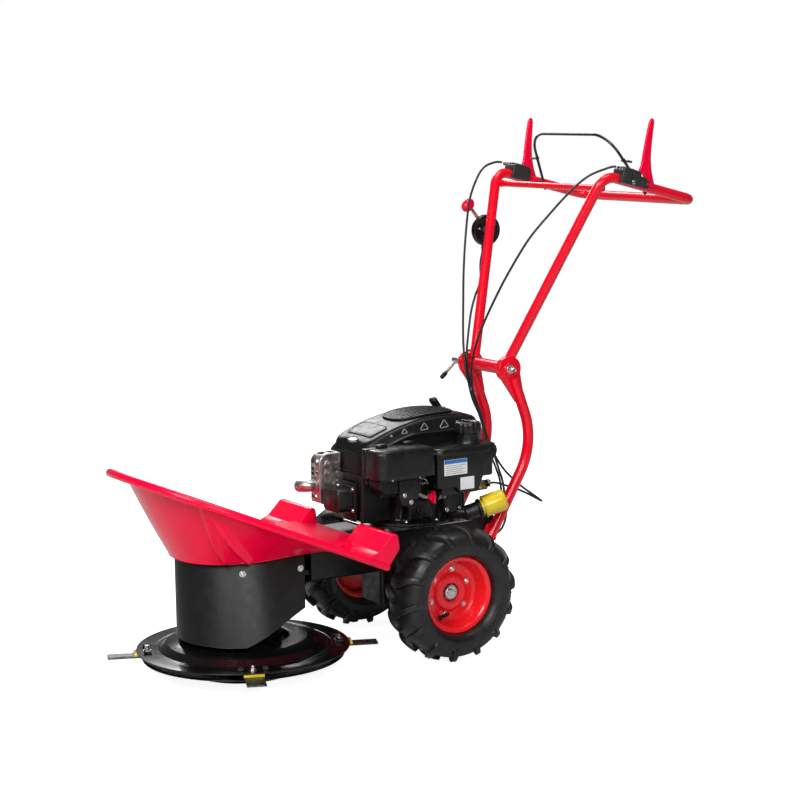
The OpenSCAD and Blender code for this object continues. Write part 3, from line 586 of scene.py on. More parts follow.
def make_shield():
    """The flared bowl with its rolled lip, the deck and the two wedges, pressed as one part."""
    straight, bend, steps = 16, 240, 22
    thickness, ridge_height = 4, 20
    outer = shield_line(RIM_HALF, FRONT_Y, -204, straight, bend)
    inner = shield_line(167, DRUM.y, -236, straight, bend)
    lip_angle = math.degrees(math.asin(thickness / 2 / LIP_R))
    rings, seat = [], []
    for i, (o, s) in enumerate(zip(outer, inner)):
        o, s = Vector(o), Vector(s)
        out = (o - s).normalized()
        rim = rim_height(o.y)
        foot = min(rim + 14, 290 + 10 * max(0, min(1, (s.y + 600) / 200)))
        run, rise = (o - s).length, rim - foot
        slope = math.degrees(math.atan2(rise, run))
        share = (i - straight) / bend
        steep = min(1, max(0, rise / 120))
        flange = 15 + 25 * math.sin(math.pi * min(1, max(0, share)))

        def spot(v, side):
            """A point of the wall: v runs from its foot to the rim, and side is 1 inside and -1 outside."""
            w = min(1, v / 0.86)
            beyond = max(0, (v - 0.86) / 0.14)
            drop = 11 * min(1, rise / 60)
            height = foot + (rise - drop) * w + (drop - 3) * beyond
            reach = (run - flange) * w + (flange - 4) * beyond + 3 * steep * math.sin(math.pi * w)
            ridge = 0.0
            for middle, way in ((0.226, -1), (0.774, 1)):
                apart = (share - middle) * way
                first, second = 0.002 * (1 - w), 0.012 + 0.105 * (1 - w)
                ridge += bulge(apart, first, 0.018) + bulge(apart, second, 0.021)
                if first < apart < second:
                    ridge += 0.35
            push = 0
            if 0 < w < 1:
                push = ridge_height * min(1, ridge) * steep * math.sin(math.pi * (0.12 + 0.86 * w)) ** 0.6
            c, q = math.cos(math.radians(slope)), math.sin(math.radians(slope))
            lift = side * thickness / 2 - push * 0.8
            flat = s + out * (reach - q * lift)
            return (flat.x, flat.y, height + c * lift)

        under = [spot(k / steps * 0.985, -1) for k in range(steps + 1)]
        over = [spot(k / steps * 0.985, 1) for k in range(steps, -1, -1)]
        lip = []
        for k in range(-6, 7):
            a = math.radians(slope + (180 - lip_angle) * k / 6)
            flat = o + out * LIP_R * math.cos(a)
            lip.append((flat.x, flat.y, rim + LIP_R * math.sin(a)))
        rings.append(under + lip + over)
        top, edge = s - out * 9, s + out * 2.6
        seat.append([(*top, BEAM_TOP + 4.3), (*edge, foot + 2), (*edge, foot - 1.6),
                     (*top, BEAM_TOP + 1.2)])
    parts = [loft("bowl", rings, sharp=50), loft("seat", seat, sharp=50)]
    deck = [(112, -202), (90, -188), (-90, -188), (-112, -202)]
    deck += [(-166, -262), (-160, DRUM.y)]
    deck += [(160 * math.cos(math.radians(a)), DRUM.y - 160 * math.sin(math.radians(a)))
             for a in range(174, 5, -6)]
    deck += [(160, DRUM.y), (166, -262)]
    parts.append(prism("deck", deck, BEAM_TOP + 0.4, BEAM_TOP + 4.4, "Z", 1.2))
    wedge = [(-262, 288), (-227, 301), (-191, 337), (-176, 337), (-171, 301), (-203, 259)]
    for side in (1, -1):
        low, high = (112, RIM_HALF + 6) if side > 0 else (-RIM_HALF - 6, -112)
        parts.append(prism("wedge", rounded(wedge, [8, 16, 11, 10, 12, 8], 4), low, high, "X", 6, 4))
    hand_in(paint(join("shield", parts), "red_plastic"), "chassis", "red_plastic", "debris_shield")


# ---- Wheels ----


def oval(half_w, half_h, angle, centre=119):
    """A point of the tyre's section: across from its middle, and out from the axle."""
    c, s = math.cos(math.radians(angle)), math.sin(math.radians(angle))
    return (half_w * math.copysign(abs(c) ** 0.8, c), centre + half_h * math.copysign(abs(s) ** 0.8, s))


def tyre_profile():
    """The carcass's section as (out, across) points: beads, ringed sidewalls, tread and hollow."""
    body = [(r, x) for x, r in (oval(58.5, 34, a) for a in range(-42, 223, 4))]
    ringed = []
    for r, x in body:
        swell = 0.9 * bulge(r, 100, 2.2) + 0.7 * bulge(r, 108, 1.6) + 0.8 * bulge(r, 126, 2.0)
        side = math.copysign(swell, x) if abs(x) > 40 else 0
        ringed.append((r, x + side))
    start = [(84.3, 19), (84.3, 29.6), (90.5, 31.2), (92.6, 33.2), (92.4, 36.5)]
    end = [(r, -x) for r, x in reversed(start)]
    hollow = [(r, x) for x, r in (oval(52, 27, a) for a in range(228, -49, -8))]
    return start + ringed + end + [(90, -22)] + hollow + [(90, 22)]


def tyre_lug(name):
    """One tread bar, from the tyre's middle over its shoulder, at the top of a tyre that turns about X."""
    rings = []
    steps = 12
    for i in range(steps + 1):
        t = i / steps
        angle = 88 - 82 * t
        base = Vector(oval(56, 31, angle))
        top = Vector(oval(63.2, TYRE_R - 119.4, angle))
        if t > 0.86:
            top = base.lerp(top, 1 - 0.35 * (t - 0.86) / 0.14)
        shift = math.degrees(base.x * math.tan(math.radians(30)) / 150) * (1 - 0.15 * t)
        ring = []
        for across, out in ((-10.5, 0), (-7.6, 0.75), (-6.6, 1), (6.6, 1), (7.6, 0.75), (10.5, 0)):
            x, r = base.lerp(top, out)
            a = math.radians(shift) + across / 150
            ring.append((x, r * math.sin(a), r * math.cos(a)))
        rings.append(ring)
    return soften(loft(name, rings, sharp=30), 1.1, 2, 34)


def make_tyre(side):
    """A tyre with two rows of lugs, and small pips and lines on its sidewalls."""
    turn = Matrix.Rotation(math.radians(90), 4, "Y")
    parts = [lathe("carcass", tyre_profile(), turn, 160, sharp=50)]
    lug = tyre_lug("lug")
    count = 14
    for i in range(count):
        parts.append(copy_of(lug, Matrix.Rotation(2 * math.pi * i / count, 4, "X")))
        other = copy_of(lug, MIRROR)
        parts.append(move(other, Matrix.Rotation(2 * math.pi * (i + 0.5) / count, 4, "X")))
    bpy.data.objects.remove(lug)
    for i in range(count * 2):
        a = math.pi * i / count + 0.08
        radial = Vector((0, math.sin(a), math.cos(a)))
        for face in (1, -1):
            x, r = oval(58.7, 34, 26 + 11 * (i % 2))
            pip = tube("pip", [radial * r + X * x * face, radial * (r + 1.0) + X * (x + 1.8) * face], 0.8,
                       6)
            parts.append(pip)
            x0, r0 = oval(58.6, 34, -30)
            x1, r1 = oval(58.6, 34, 4)
            if i % 2:
                line = [radial * r0 + X * x0 * face,
                        radial * (r0 * 0.4 + r1 * 0.6) + X * (x1 + 0.2) * face * 0.985,
                        radial * r1 + X * x1 * face]
                parts.append(tube("line", curve_through(line, 4), 0.7, 6))
    return paint(join("tyre_" + side, parts), "tyre")


def make_wheel(side):
    """One wheel: the tyre, the dished rim, its six bolts and the valve stem."""
    sign = 1 if side == "left" else -1
    place = Matrix.Translation((sign * WHEEL.x, 0, WHEEL.z)) @ (MIRROR if sign < 0 else Matrix.Identity(4))
    body = "wheel_" + side
    tyre = move(make_tyre(side), place)
    hand_in(tyre, body, "tyre", "tyre_" + side)
    turn = Matrix.Rotation(math.radians(90), 4, "Y")
    # the dished wheel: outer flange, well, step with its bolts, raised centre with the hub's recess
    face = [(84, 22), (84, 30), (85.6, 31.8), (90.4, 32.6), (92, 34), (91.6, 36), (89, 36.6), (82.6, 34.6),
            (79.6, 31), (78, 24), (75.6, 8), (72.4, -3), (69, -6.5), (64, -7.6), (59, -7.6), (49.6, -7.4),
            (45.8, -5.4), (43.4, -1), (40.6, 2), (36, 3), (27, 3), (22.6, 1.6), (21, -2), (20.6, -10),
            (10.2, -10), (10.2, -50), (22, -50), (22, -14), (46, -14), (60, -12.4), (70, -11.4), (76, -6),
            (79, 4), (81, 20)]
    back = [(80.4, 22), (82.6, 22), (84, 24), (84, -30), (85.6, -31.8), (90.4, -32.6), (92, -34),
            (91.6, -36), (89, -36.6), (82.6, -34.6), (79.6, -31)]
    rim = join("rim_" + side, [lathe("face", rounded(face, 1.6, 3), turn, 128, 40),
                               lathe("back", back, turn, 128, 40)])
    hand_in(move(paint(rim, "rim_red"), place), body, "red_paint", "rim_" + side)
    parts = []
    for k in range(6):
        a = math.radians(60 * k - 10)
        spot = Vector((-7.6, 54.5 * math.sin(a), -54.5 * math.cos(a)))
        parts.append(paint(hex_head("wheel_bolt", spot, X, 4.8, 4.6, 1.4, 10 * k), "zinc"))
    stem_at = math.radians(335)
    radial = Vector((0, math.sin(stem_at), -math.cos(stem_at)))
    foot = radial * 66 + X * -7
    lean = (X * 0.82 - radial * 0.5).normalized()
    stem = lathe("stem",
                 [(0, 0), (6.2, 0), (6.2, 2), (4.2, 5), (4.0, 18), (4.6, 19), (4.6, 31), (3.8, 32.5),
                  (0, 32.5)], aim(foot, lean), 24)
    parts.append(paint(stem, "rubber"))
    bolts = move(join("wheel_bolts_" + side, parts), place)
    hand_in(bolts, body, "zinc", "wheel_bolts_" + side)


def make_axle():
    """The axle's hub nuts with their washers and split pins; the shaft itself is the CAD node."""
    parts = []
    for sign in (1, -1):
        at = Vector((sign * WHEEL.x, 0, WHEEL.z))
        out = X * sign
        parts.append(lathe("hub", [(10, -10), (17, -10), (17, -0.5), (16, 0.6), (11, 0.6), (10, -0.4)],
                           aim(at, out), 48))
        parts.append(hex_head("hub_nut", at + out * 0.4, out, 9.6, 5.2, 1.45))
        for k in range(3):
            a = math.radians(60 * k)
            across = Vector((0, math.cos(a), math.sin(a))) * 8.4
            parts.append(block("slot", (-1.1, -1.1, -1.1), (1.1, 1.1, 1.1), bevel=0.3))
            move(parts[-1], Matrix.Translation(at + out * 5.4 + across))
        pin = [at + out * 3.4 + Y * 13, at + out * 3.4 + Y * 6, at + out * 4 + Z * 4 - Y * 4,
               at + out * 2 + Z * 12 - Y * 9]
        parts.append(tube("split_pin", curve_through(pin, 4), 1.2, 8))
    hand_in(paint(join("hub_nuts", parts), "zinc"), "axle", "zinc")


# ---- Handlebar ----


def make_tubes():
    """The bent handle tube with its crossbar, the hinge tube and the toothed friction discs."""
    low = Vector((66, HINGE.y, HINGE.z))
    bend = Vector((224, 452, 1133.4))
    rear = Vector((224, 734, 1062))
    flip = Vector((-1, 1, 1))
    corners = [low, bend, rear, rear * flip, bend * flip, low * flip]
    path = rounded(corners, [0, 40, 34, 34, 40, 0], 12, closed=False)
    parts = [sweep("bar", path, lambda t: circle(12.5, 28), sharp=50)]
    parts.append(tube("crossbar", [(-215, 456, 1101), (215, 456, 1101)], 8, 24))
    parts.append(lathe("hinge_tube",
                       [(6.1, -79.6), (14.8, -79.6), (16, -78.4), (16, 78.4), (14.8, 79.6), (6.1, 79.6)],
                       aim(HINGE, X), 48))
    for side in (1, -1):
        disc = [(15, 68), (28.6, 68), (30, 69.4), (30, 78.2), (28.6, 79.6), (15, 79.6)]
        parts.append(lathe("disc", disc, aim(HINGE, X * side), 64))
        for k in range(48):
            a = math.radians(7.5 * k)
            tooth = block("tooth", (28.5, -0.9, 70.4), (31.2, 0.9, 79.2), bevel=0.4, segments=1)
            parts.append(move(tooth, aim(HINGE, X * side) @ Matrix.Rotation(a, 4, "Z")))
        weld = lathe("weld", [(11.5, -3), (14.9, -1.2), (15.9, 1), (14.9, 3), (11.5, 4.4)],
                     aim((side * 68, HINGE.y + 1, HINGE.z + 13), (side * 0.33, 0.36, 0.87)), 32)
        parts.append(weld)
        parts.append(lathe("joint", [(6, -6), (9.2, -4), (9.6, 0), (8.2, 4.5), (6, 5)],
                           aim((side * 209, 456, 1101), X * side), 32))
    hand_in(paint(join("handle_tubes", parts), "red_paint"), "handlebar", "red_paint", "handle_frame")


def make_masts():
    """The two lower tubes, each ending in a round hinge plate that runs into the tube in a teardrop."""
    path = rounded([(89.5, 276, 640), (89.5, 338, 474), (89.5, 203, 252)], [0, 170, 0], 24, closed=False)
    parts = [sweep("mast", path, lambda t: circle(13.5, 28), sharp=50)]
    top = path[0]
    along = (path[3] - path[0]).normalized()
    round_part = [(HINGE.y + 33 * math.cos(math.radians(a)), HINGE.z + 33 * math.sin(math.radians(a)))
                  for a in range(-20, 221, 8)]
    tail = top + along * 62
    across = along.cross(X).normalized() * 12.5
    tip_a, tip_b = tail + across, tail - across
    tips = sorted(((tip_a.y, tip_a.z), (tip_b.y, tip_b.z)))
    outline = round_part + [tips[0], tips[1]]
    parts.append(prism("plate", outline, 80.2, 90, "X", 1.6, 3))
    parts.append(lathe("boss", [(0, 90), (17, 90), (15.5, 91.6), (0, 91.6)], aim(HINGE, X), 48))
    foot = path[-1]
    parts.append(prism("foot",
                       rounded([(foot.y - 26, 238), (foot.y + 22, 238), (foot.y + 30, 284),
                                (foot.y - 4, 284)], 8, 4), 76.2, 84, "X", 1.2))
    near = join("mast", parts)
    masts = paint(join("masts", [near, copy_of(near, MIRROR)]), "red_paint")
    hand_in(masts, "chassis", "red_paint", "handle_masts")


def make_pivot():
    """The bolt through the hinge, with its thread, its nut and the collar on the clamp's side."""
    parts = [tube("bolt", [HINGE - X * 128, HINGE + X * 107], 6, 24)]
    parts.append(lathe("thread",
                       [(5.0, 0), (6.3, 0.6)] + [(5.6 if k % 2 else 6.3, 1 + k * 0.75) for k in range(10)]
                       + [(5.0, 9)], aim(HINGE + X * 99, X), 24))
    parts.append(hex_head("nut", HINGE + X * 92.4, X, 8.2, 8.0, 1.4))
    parts.append(lathe("collar",
                       [(6, 0), (8.4, 0), (9, 0.8), (9, 34), (8.4, 35), (11.5, 35.2), (11.5, 36.8),
                        (6, 36.8)], aim(HINGE - X * 127.2, X), 40))
    hand_in(paint(join("pivot", parts), "zinc"), "chassis", "zinc", "pivot_bolt")


def make_clamp():
    """The clamp lever: a turned boss, a steel rod and a plastic tip."""
    boss = HINGE - X * 154
    arm_at = HINGE - X * 143
    along = Vector((0, -math.sin(math.radians(131)), math.cos(math.radians(131))))
    parts = [paint(lathe("knob", [(0, 0), (8.5, 0), (10, 1.6), (10, 20), (8.6, 24), (6, 25.4), (0, 25.4)],
                         aim(boss, X), 40), "zinc"),
             paint(tube("rod", [arm_at, arm_at + along * 50], 4, 20), "zinc"),
             paint(lathe("tip", [(0, 44), (5.2, 44), (6, 46), (6.2, 56), (5.4, 63), (3, 65), (0, 65)],
                         aim(arm_at, along), 32), "black_plastic")]
    hand_in(join("clamp_handle", parts), "clamp", "zinc", "clamp_lever")


# ---- Control cables: the same routes as the CAD's ----

LEFT_ROUTE = [
    (238, 478, 1154), (225, 462, 1150), (200, 420, 1130), (170, 385, 1090), (140, 350, 1040),
    (110, 310, 980), (75, 275, 900), (45, 255, 835), (15, 240, 770), (-5, 230, 715), (-25, 230, 660),
    (-30, 235, 620), (-35, 242, 580), (-30, 258, 530), (-20, 270, 480), (0, 275, 445), (20, 280, 400),
    (30, 285, 365), (42, 285, 295), (45, 272, 260), (45, 250, 244), (45, 226, 240),
]
RIGHT_ROUTE = [
    (-238, 478, 1154), (-235, 455, 1155), (-225, 415, 1145), (-215, 385, 1120), (-200, 350, 1065),
    (-175, 320, 985), (-150, 295, 895), (-110, 265, 810), (-75, 240, 725), (-50, 228, 665),
    (-50, 238, 615), (-50, 250, 573), (-45, 270, 525), (-32, 275, 480), (-12, 275, 440), (8, 280, 400),
    (18, 285, 365), (28, 285, 295), (32, 272, 258), (32, 250, 240), (32, 226, 236),
]
THROTTLE_ROUTE = [
    (-212, 400, 939), (-205, 385, 900), (-185, 370, 855), (-165, 340, 820), (-140, 310, 785),
    (-95, 270, 738), (-58, 238, 686), (-60, 242, 650), (-65, 256, 608), (-70, 272, 570),
    (-60, 284, 525), (-45, 288, 480), (-15, 290, 435), (10, 300, 400), (20, 320, 375), (30, 345, 350),
    (40, 370, 330), (48, 386, 316), (54, 386, 314), (58, 370, 322), (60, 340, 338), (60, 305, 355),
    (64, 265, 370), (82, 225, 383), (102, 196, 389),
]


def make_cable(name, route, node):
    """A sheathed cable along its route."""
    path = curve_through(route, 8)
    parts = [paint(tube("sheath", path, 2.9, 12), "rubber")]
    piece = join(name, parts)
    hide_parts(node)
    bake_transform(piece)


# ---- Controls on the handlebar ----

GRIP = Matrix.Translation((GRIP_HALF, 490, 1123.78)) @ Matrix.Rotation(math.radians(-14.2), 4, "X")
LEVER_PIVOT = Vector((242, 570, 1120))
BAIL_PIVOT = Vector((0, 585, 1101))


def make_lever_housings():
    """Each grip's moulded housing, with its clamp screw, top clip and the cable's ferrule."""
    outline = rounded([(0, -9), (0, 24), (5, 30), (46, 28.5), (54, 26), (57, 18), (78, 18), (85, 12),
                       (85, -8)], [3, 2, 3, 6, 3, 2, 4, 6, 4], 4)
    body = prism("body", outline, -18, 24, "X", 1.6, 3)
    tools = [prism("slot", [(54, -12), (92, -12), (92, 60), (54, 60)], 11.8, 22.4, "X", 0),
             prism("slot", [(57, -12), (92, -12), (92, 60), (57, 60)], -19, 12, "X", 0),
             lathe("bore", [(0, -6), (12.65, -6), (12.65, 95), (0, 95)], aim((0, 0, 0), Y), 48),
             lathe("well", [(0, 0), (8, 0), (8, 8), (0, 8)], aim((21.6, 38, 0), X), 40)]
    body = paint(cut(body, tools), "grey_plastic")
    parts = [body,
             paint(prism("pad", rectangle((5, -4), (27, 21), 3), 23.4, 25.6, "X", 0.7), "grey_plastic"),
             paint(prism("pad", rectangle((31, 14), (51, 25), 2.5), 23.4, 25.0, "X", 0.6), "grey_plastic"),
             paint(prism("rib", rectangle((60, -6), (83, 11), 4), 23.6, 24.8, "X", 0.5), "grey_plastic"),
             paint(hex_head("clamp_screw", (21.8, 38, 0), X, 5.4, 3.4, 1.35, 12), "zinc"),
             paint(prism("clip",
                         [(2, 29.6), (30, 30.2), (48, 28.8), (53, 31.6), (54.5, 31), (48.4, 30.2),
                          (30, 31.6), (2, 31.2)], -11, 17, "X", 0.3, 2), "zinc"),
             paint(lathe("ferrule",
                         [(2.7, -12), (3.6, -12), (4, -11), (4, -7), (5, -6.6), (5, -2), (6, -1.6),
                          (6, 1.6), (2.7, 1.6)], aim((14, 0, 24.6), Y), 32), "zinc"),
             paint(lathe("pivot_pin", [(0, 0), (3.1, 0), (2.8, 1.5), (0, 2)], aim((24.6, 79, 4), X), 24),
                   "red_plastic")]
    housing = move(join("housing", parts), GRIP)
    both = join("lever_housings", [housing, copy_of(housing, MIRROR)])
    hand_in(both, "handlebar", "black_plastic", "lever_housings")


def make_drive_lever(side):
    """A tapered lever blade with a gusset at its foot and a rib along its inner face."""
    outline = [(570.5, 1258), (573.5, 1265.5), (580, 1268), (584.5, 1265.5), (586.4, 1257), (583.2, 1232),
               (580.2, 1204), (578.8, 1178), (579.8, 1156), (583.5, 1136), (589, 1117), (595, 1103),
               (590, 1098.5), (579, 1102), (569, 1106), (563, 1112), (561, 1124), (554, 1133),
               (545.5, 1138.5), (543.4, 1143.5), (548.6, 1151.5), (551.2, 1162), (555.4, 1186),
               (560.6, 1214), (566.0, 1240)]
    rings = []
    for x, inset in ((-4.2, 3.4), (-3.2, 1.2), (-1.3, 0), (1.3, 0), (3.2, 1.2), (4.2, 3.4)):
        ring = []
        count = len(outline)
        for i, p in enumerate(outline):
            before, here, after = Vector(outline[i - 1]), Vector(p), Vector(outline[(i + 1) % count])
            along = (after - before).normalized()
            spot = here + Vector((-along.y, along.x)) * -inset
            ring.append((242 + x + (spot.y - 1120) * 0.049, spot.x, spot.y))
        rings.append(ring)
    blade = subdivide(loft("blade", rings), 2)
    pin = lathe("pin", [(0, -11.4), (3.2, -11.4), (4, -10.4), (4, 4.6), (3.4, 6.4), (0, 6.4)],
                aim(LEVER_PIVOT, X), 32)
    rib_path = [(246.8, 575, 1124), (247.6, 571.5, 1150), (249.6, 572.5, 1190)]
    rib = tube("rib", curve_through(rib_path, 6), 1.6, 10)
    lever = paint(join("lever_" + side, [blade, pin, rib]), "red_plastic")
    if side == "right":
        move(lever, MIRROR)
    hand_in(lever, "grip_lever_" + side, "red_plastic", "lever_" + side)


def make_bail():
    """The thin black bail across the grips, with its cross fingers and the stops on its feet."""
    flip = Vector((-1, 1, 1))
    foot, top = Vector((206.2, 594, 1084)), Vector((157, 513, 1228))
    corners = [foot, top, top * flip, foot * flip]
    path = rounded(corners, [0, 74, 74, 0], 16, closed=False)
    parts = [tube("rod", path, 3.5, 16)]
    for side in (1, -1):
        turn = Vector((side, 1, 1))
        parts.append(tube("pivot", [BAIL_PIVOT + X * 201 * side, BAIL_PIVOT + X * 230 * side], 3.4, 16))
        finger = [Vector(p) * turn
                  for p in ((205, 550, 1162), (197, 549, 1163), (188, 549, 1163), (176, 546, 1165))]
        parts.append(tube("finger", curve_through(finger, 5), 3, 14))
        for end in (finger[0], finger[-1]):
            parts.append(lathe("bead", [(0, -3), (2.2, -2.6), (3.3, -1), (3.3, 1), (2.2, 2.6), (0, 3)],
                               aim(end, X), 20))
        near = foot * turn
        parts.append(lathe("stop", [(0, -4), (3.6, -3.4), (4.2, -1), (4.2, 2), (3.4, 4), (0, 4)],
                           aim(near, (top * turn - near).normalized()), 24))
        collar_at = near.lerp(top * turn, 0.56)
        parts.append(lathe("collar", [(3, -4), (4.8, -3.4), (4.8, 3.4), (3, 4)],
                           aim(collar_at, (top * turn - near).normalized()), 24))
    hand_in(paint(join("bail", parts), "black_paint"), "presence_bail", "black_paint", "bail")


def make_throttle():
    """The round throttle housing on the far leg, and its steel arm with an oval knob."""
    at = Vector((-212, 409, 982))
    leaning = Matrix.Rotation(math.radians(38), 4, "X")
    shell = lathe("shell",
                  [(0, 0), (36, 0), (39, 1.2), (40, 3), (40, 8), (38.4, 8.8), (38.4, 11), (40, 11.8),
                   (40, 17), (38.6, 19.4), (33, 20), (31, 19), (12, 19), (10.6, 20), (0, 20)],
                  aim(at - X * 13, X), 72)
    slot = prism("slot",
                 [(at.y - 45, at.z - 8), (at.y + 15, at.z - 8), (at.y + 15, at.z + 54),
                  (at.y - 45, at.z + 54)], -218.4, -211.6, "X", 0)
    bore = lathe("bore", [(0, 0), (4.1, 0), (4.1, 24), (0, 24)], aim(at - X * 18, X), 32)
    shell = paint(cut(shell, [slot, bore]), "black_plastic")
    parts = [shell]
    for k in range(3):
        a = math.radians(50 + 120 * k)
        spot = at + Vector((6.6, 26 * math.cos(a), 26 * math.sin(a)))
        parts.append(paint(socket_screw("screw", spot, X, 3.2, 2.2), "zinc"))
        parts.append(paint(tube("rib",
                                [at + Vector((5.9, 11 * math.cos(a + 1), 11 * math.sin(a + 1))),
                                 at + Vector((5.9, 30 * math.cos(a + 1), 30 * math.sin(a + 1)))], 1.4, 8),
                           "black_plastic"))
    parts.append(paint(lathe("clip", [(11.2, -8), (14.2, -7), (14.6, 0), (14.2, 7), (11.2, 8)],
                             aim((-200.6, 399, 985), (0.33, 0.36, 0.87)), 40), "black_plastic"))
    parts.append(paint(lathe("spout",
                             [(2.6, 0), (5.4, 0), (6.2, 2), (6.2, 14), (4.2, 20), (3.2, 24), (2.6, 24)],
                             aim((-212, 403, 951), (0.05, -0.3, -0.95)), 28), "black_plastic"))
    hand_in(join("throttle_case", parts), "handlebar", "black_plastic", "throttle_housing")
    arm = prism("arm", rounded([(-5, -5), (5, -5), (4, 72), (-4, 72)], [5, 5, 3, 3], 4), -2, 2, "X", 0.5)
    move(arm, Matrix.Translation(at - X * 3) @ leaning)
    pin = lathe("pin", [(0, -12.4), (4, -12.4), (4, 5.4), (3, 6), (0, 6)], aim(at, X), 32)
    parts = [paint(arm, "zinc"), paint(pin, "zinc")]
    knob_at = at - X * 8 + leaning @ Vector((0, 0, 84))
    profile = [(0, -10.6), (8, -10), (14.6, -7.6), (18.8, -3.4), (19.8, 0), (18.8, 3.4), (14.6, 7.6),
               (8, 10), (0, 10.6)]
    knob = lathe("knob", curve_through(profile, 3), segments=48, closed=False, sharp=60)
    knob.data.transform(Matrix.Diagonal((0.8, 1.0, 1.2, 1)))
    move(knob, Matrix.Translation(knob_at) @ leaning @ Matrix.Rotation(math.pi / 2, 4, "Y"))
    stem = lathe("stem", [(0, -16), (4.4, -16), (5.4, -12), (5.6, -2), (0, -2)], segments=24)
    move(stem, Matrix.Translation(knob_at) @ leaning)
    parts += [paint(knob, "red_plastic"), paint(stem, "red_plastic")]
    hand_in(join("throttle_arm", parts), "throttle", "zinc", "throttle_lever")


# ---- Engine ----

GRILLE = (-17, 62)
STARTER_PULL = (0, -0.61566, 0.78801)
AT_FILLER = Matrix.Translation((114, 122, 524.4))
AT_OIL_FILTER = (Matrix.Translation((126, 158, 338)) @ Matrix.Rotation(math.radians(-22), 4, "Z")
                 @ Matrix.Rotation(math.radians(-72), 4, "X"))


def resample(points, count):
    """The same closed outline with points at even steps."""
    points = [Vector(p) for p in points]
    lengths = [(points[(i + 1) % len(points)] - p).length for i, p in enumerate(points)]
    step = sum(lengths) / count
    out, i, used = [], 0, 0.0
    for k in range(count):
        while used + lengths[i] < k * step:
            used += lengths[i]
            i += 1
        out.append(points[i].lerp(points[(i + 1) % len(points)], (k * step - used) / lengths[i]))
    return out


SPINE = curve_through([(-150, 500), (-122, 515), (-62, 541), (0, 557), (52, 564), (112, 564), (162, 558),
                       (200, 547), (224, 533)], 8)


def dome(x, y):
    """Height of the blower housing's top."""
    for a, b in zip(SPINE, SPINE[1:]):
        if y <= b.x:
            z = a.y + (b.y - a.y) * max(0, min(1, (y - a.x) / (b.x - a.x)))
            break
    else:
        z = SPINE[-1].y
    return z - 6 * ((x + 20) / 100) ** 2


def ledge(x, y):
    """Height of the step between the blower housing's skirt and its crown."""
    return min(524, dome(x, y) - 26)


def crown_x(y, z):
    """How far out the crown's near side stands."""
    low, high = ledge(66, y) + 5, dome(66, y) - 12
    if z <= high:
        return 72 - 6 * max(0, (z - low) / (high - low))
    return 66 - 12 * (1 - math.sqrt(max(0, 1 - ((z - high) / 12) ** 2)))


def patch(name, outline, lift, rings=8, skirt=3.0, edge=1.2):
    """A pad that lies on the dome inside an outline."""
    middle = sum((Vector(p) for p in outline), Vector((0, 0))) / len(outline)
    layers = []
    for share, height in [(1.0, -skirt), (1.0, lift - edge), (0.985, lift - edge * 0.3), (0.96, lift)]:
        layers.append([(p, height) for p in (middle.lerp(Vector(q), share) for q in outline)])
    for k in range(rings - 1, -1, -1):
        layers.append([(middle.lerp(Vector(q), 0.96 * k / rings), lift) for q in outline])
    return loft(name, [[(p.x, p.y, dome(p.x, p.y) + h) for p, h in layer] for layer in layers])


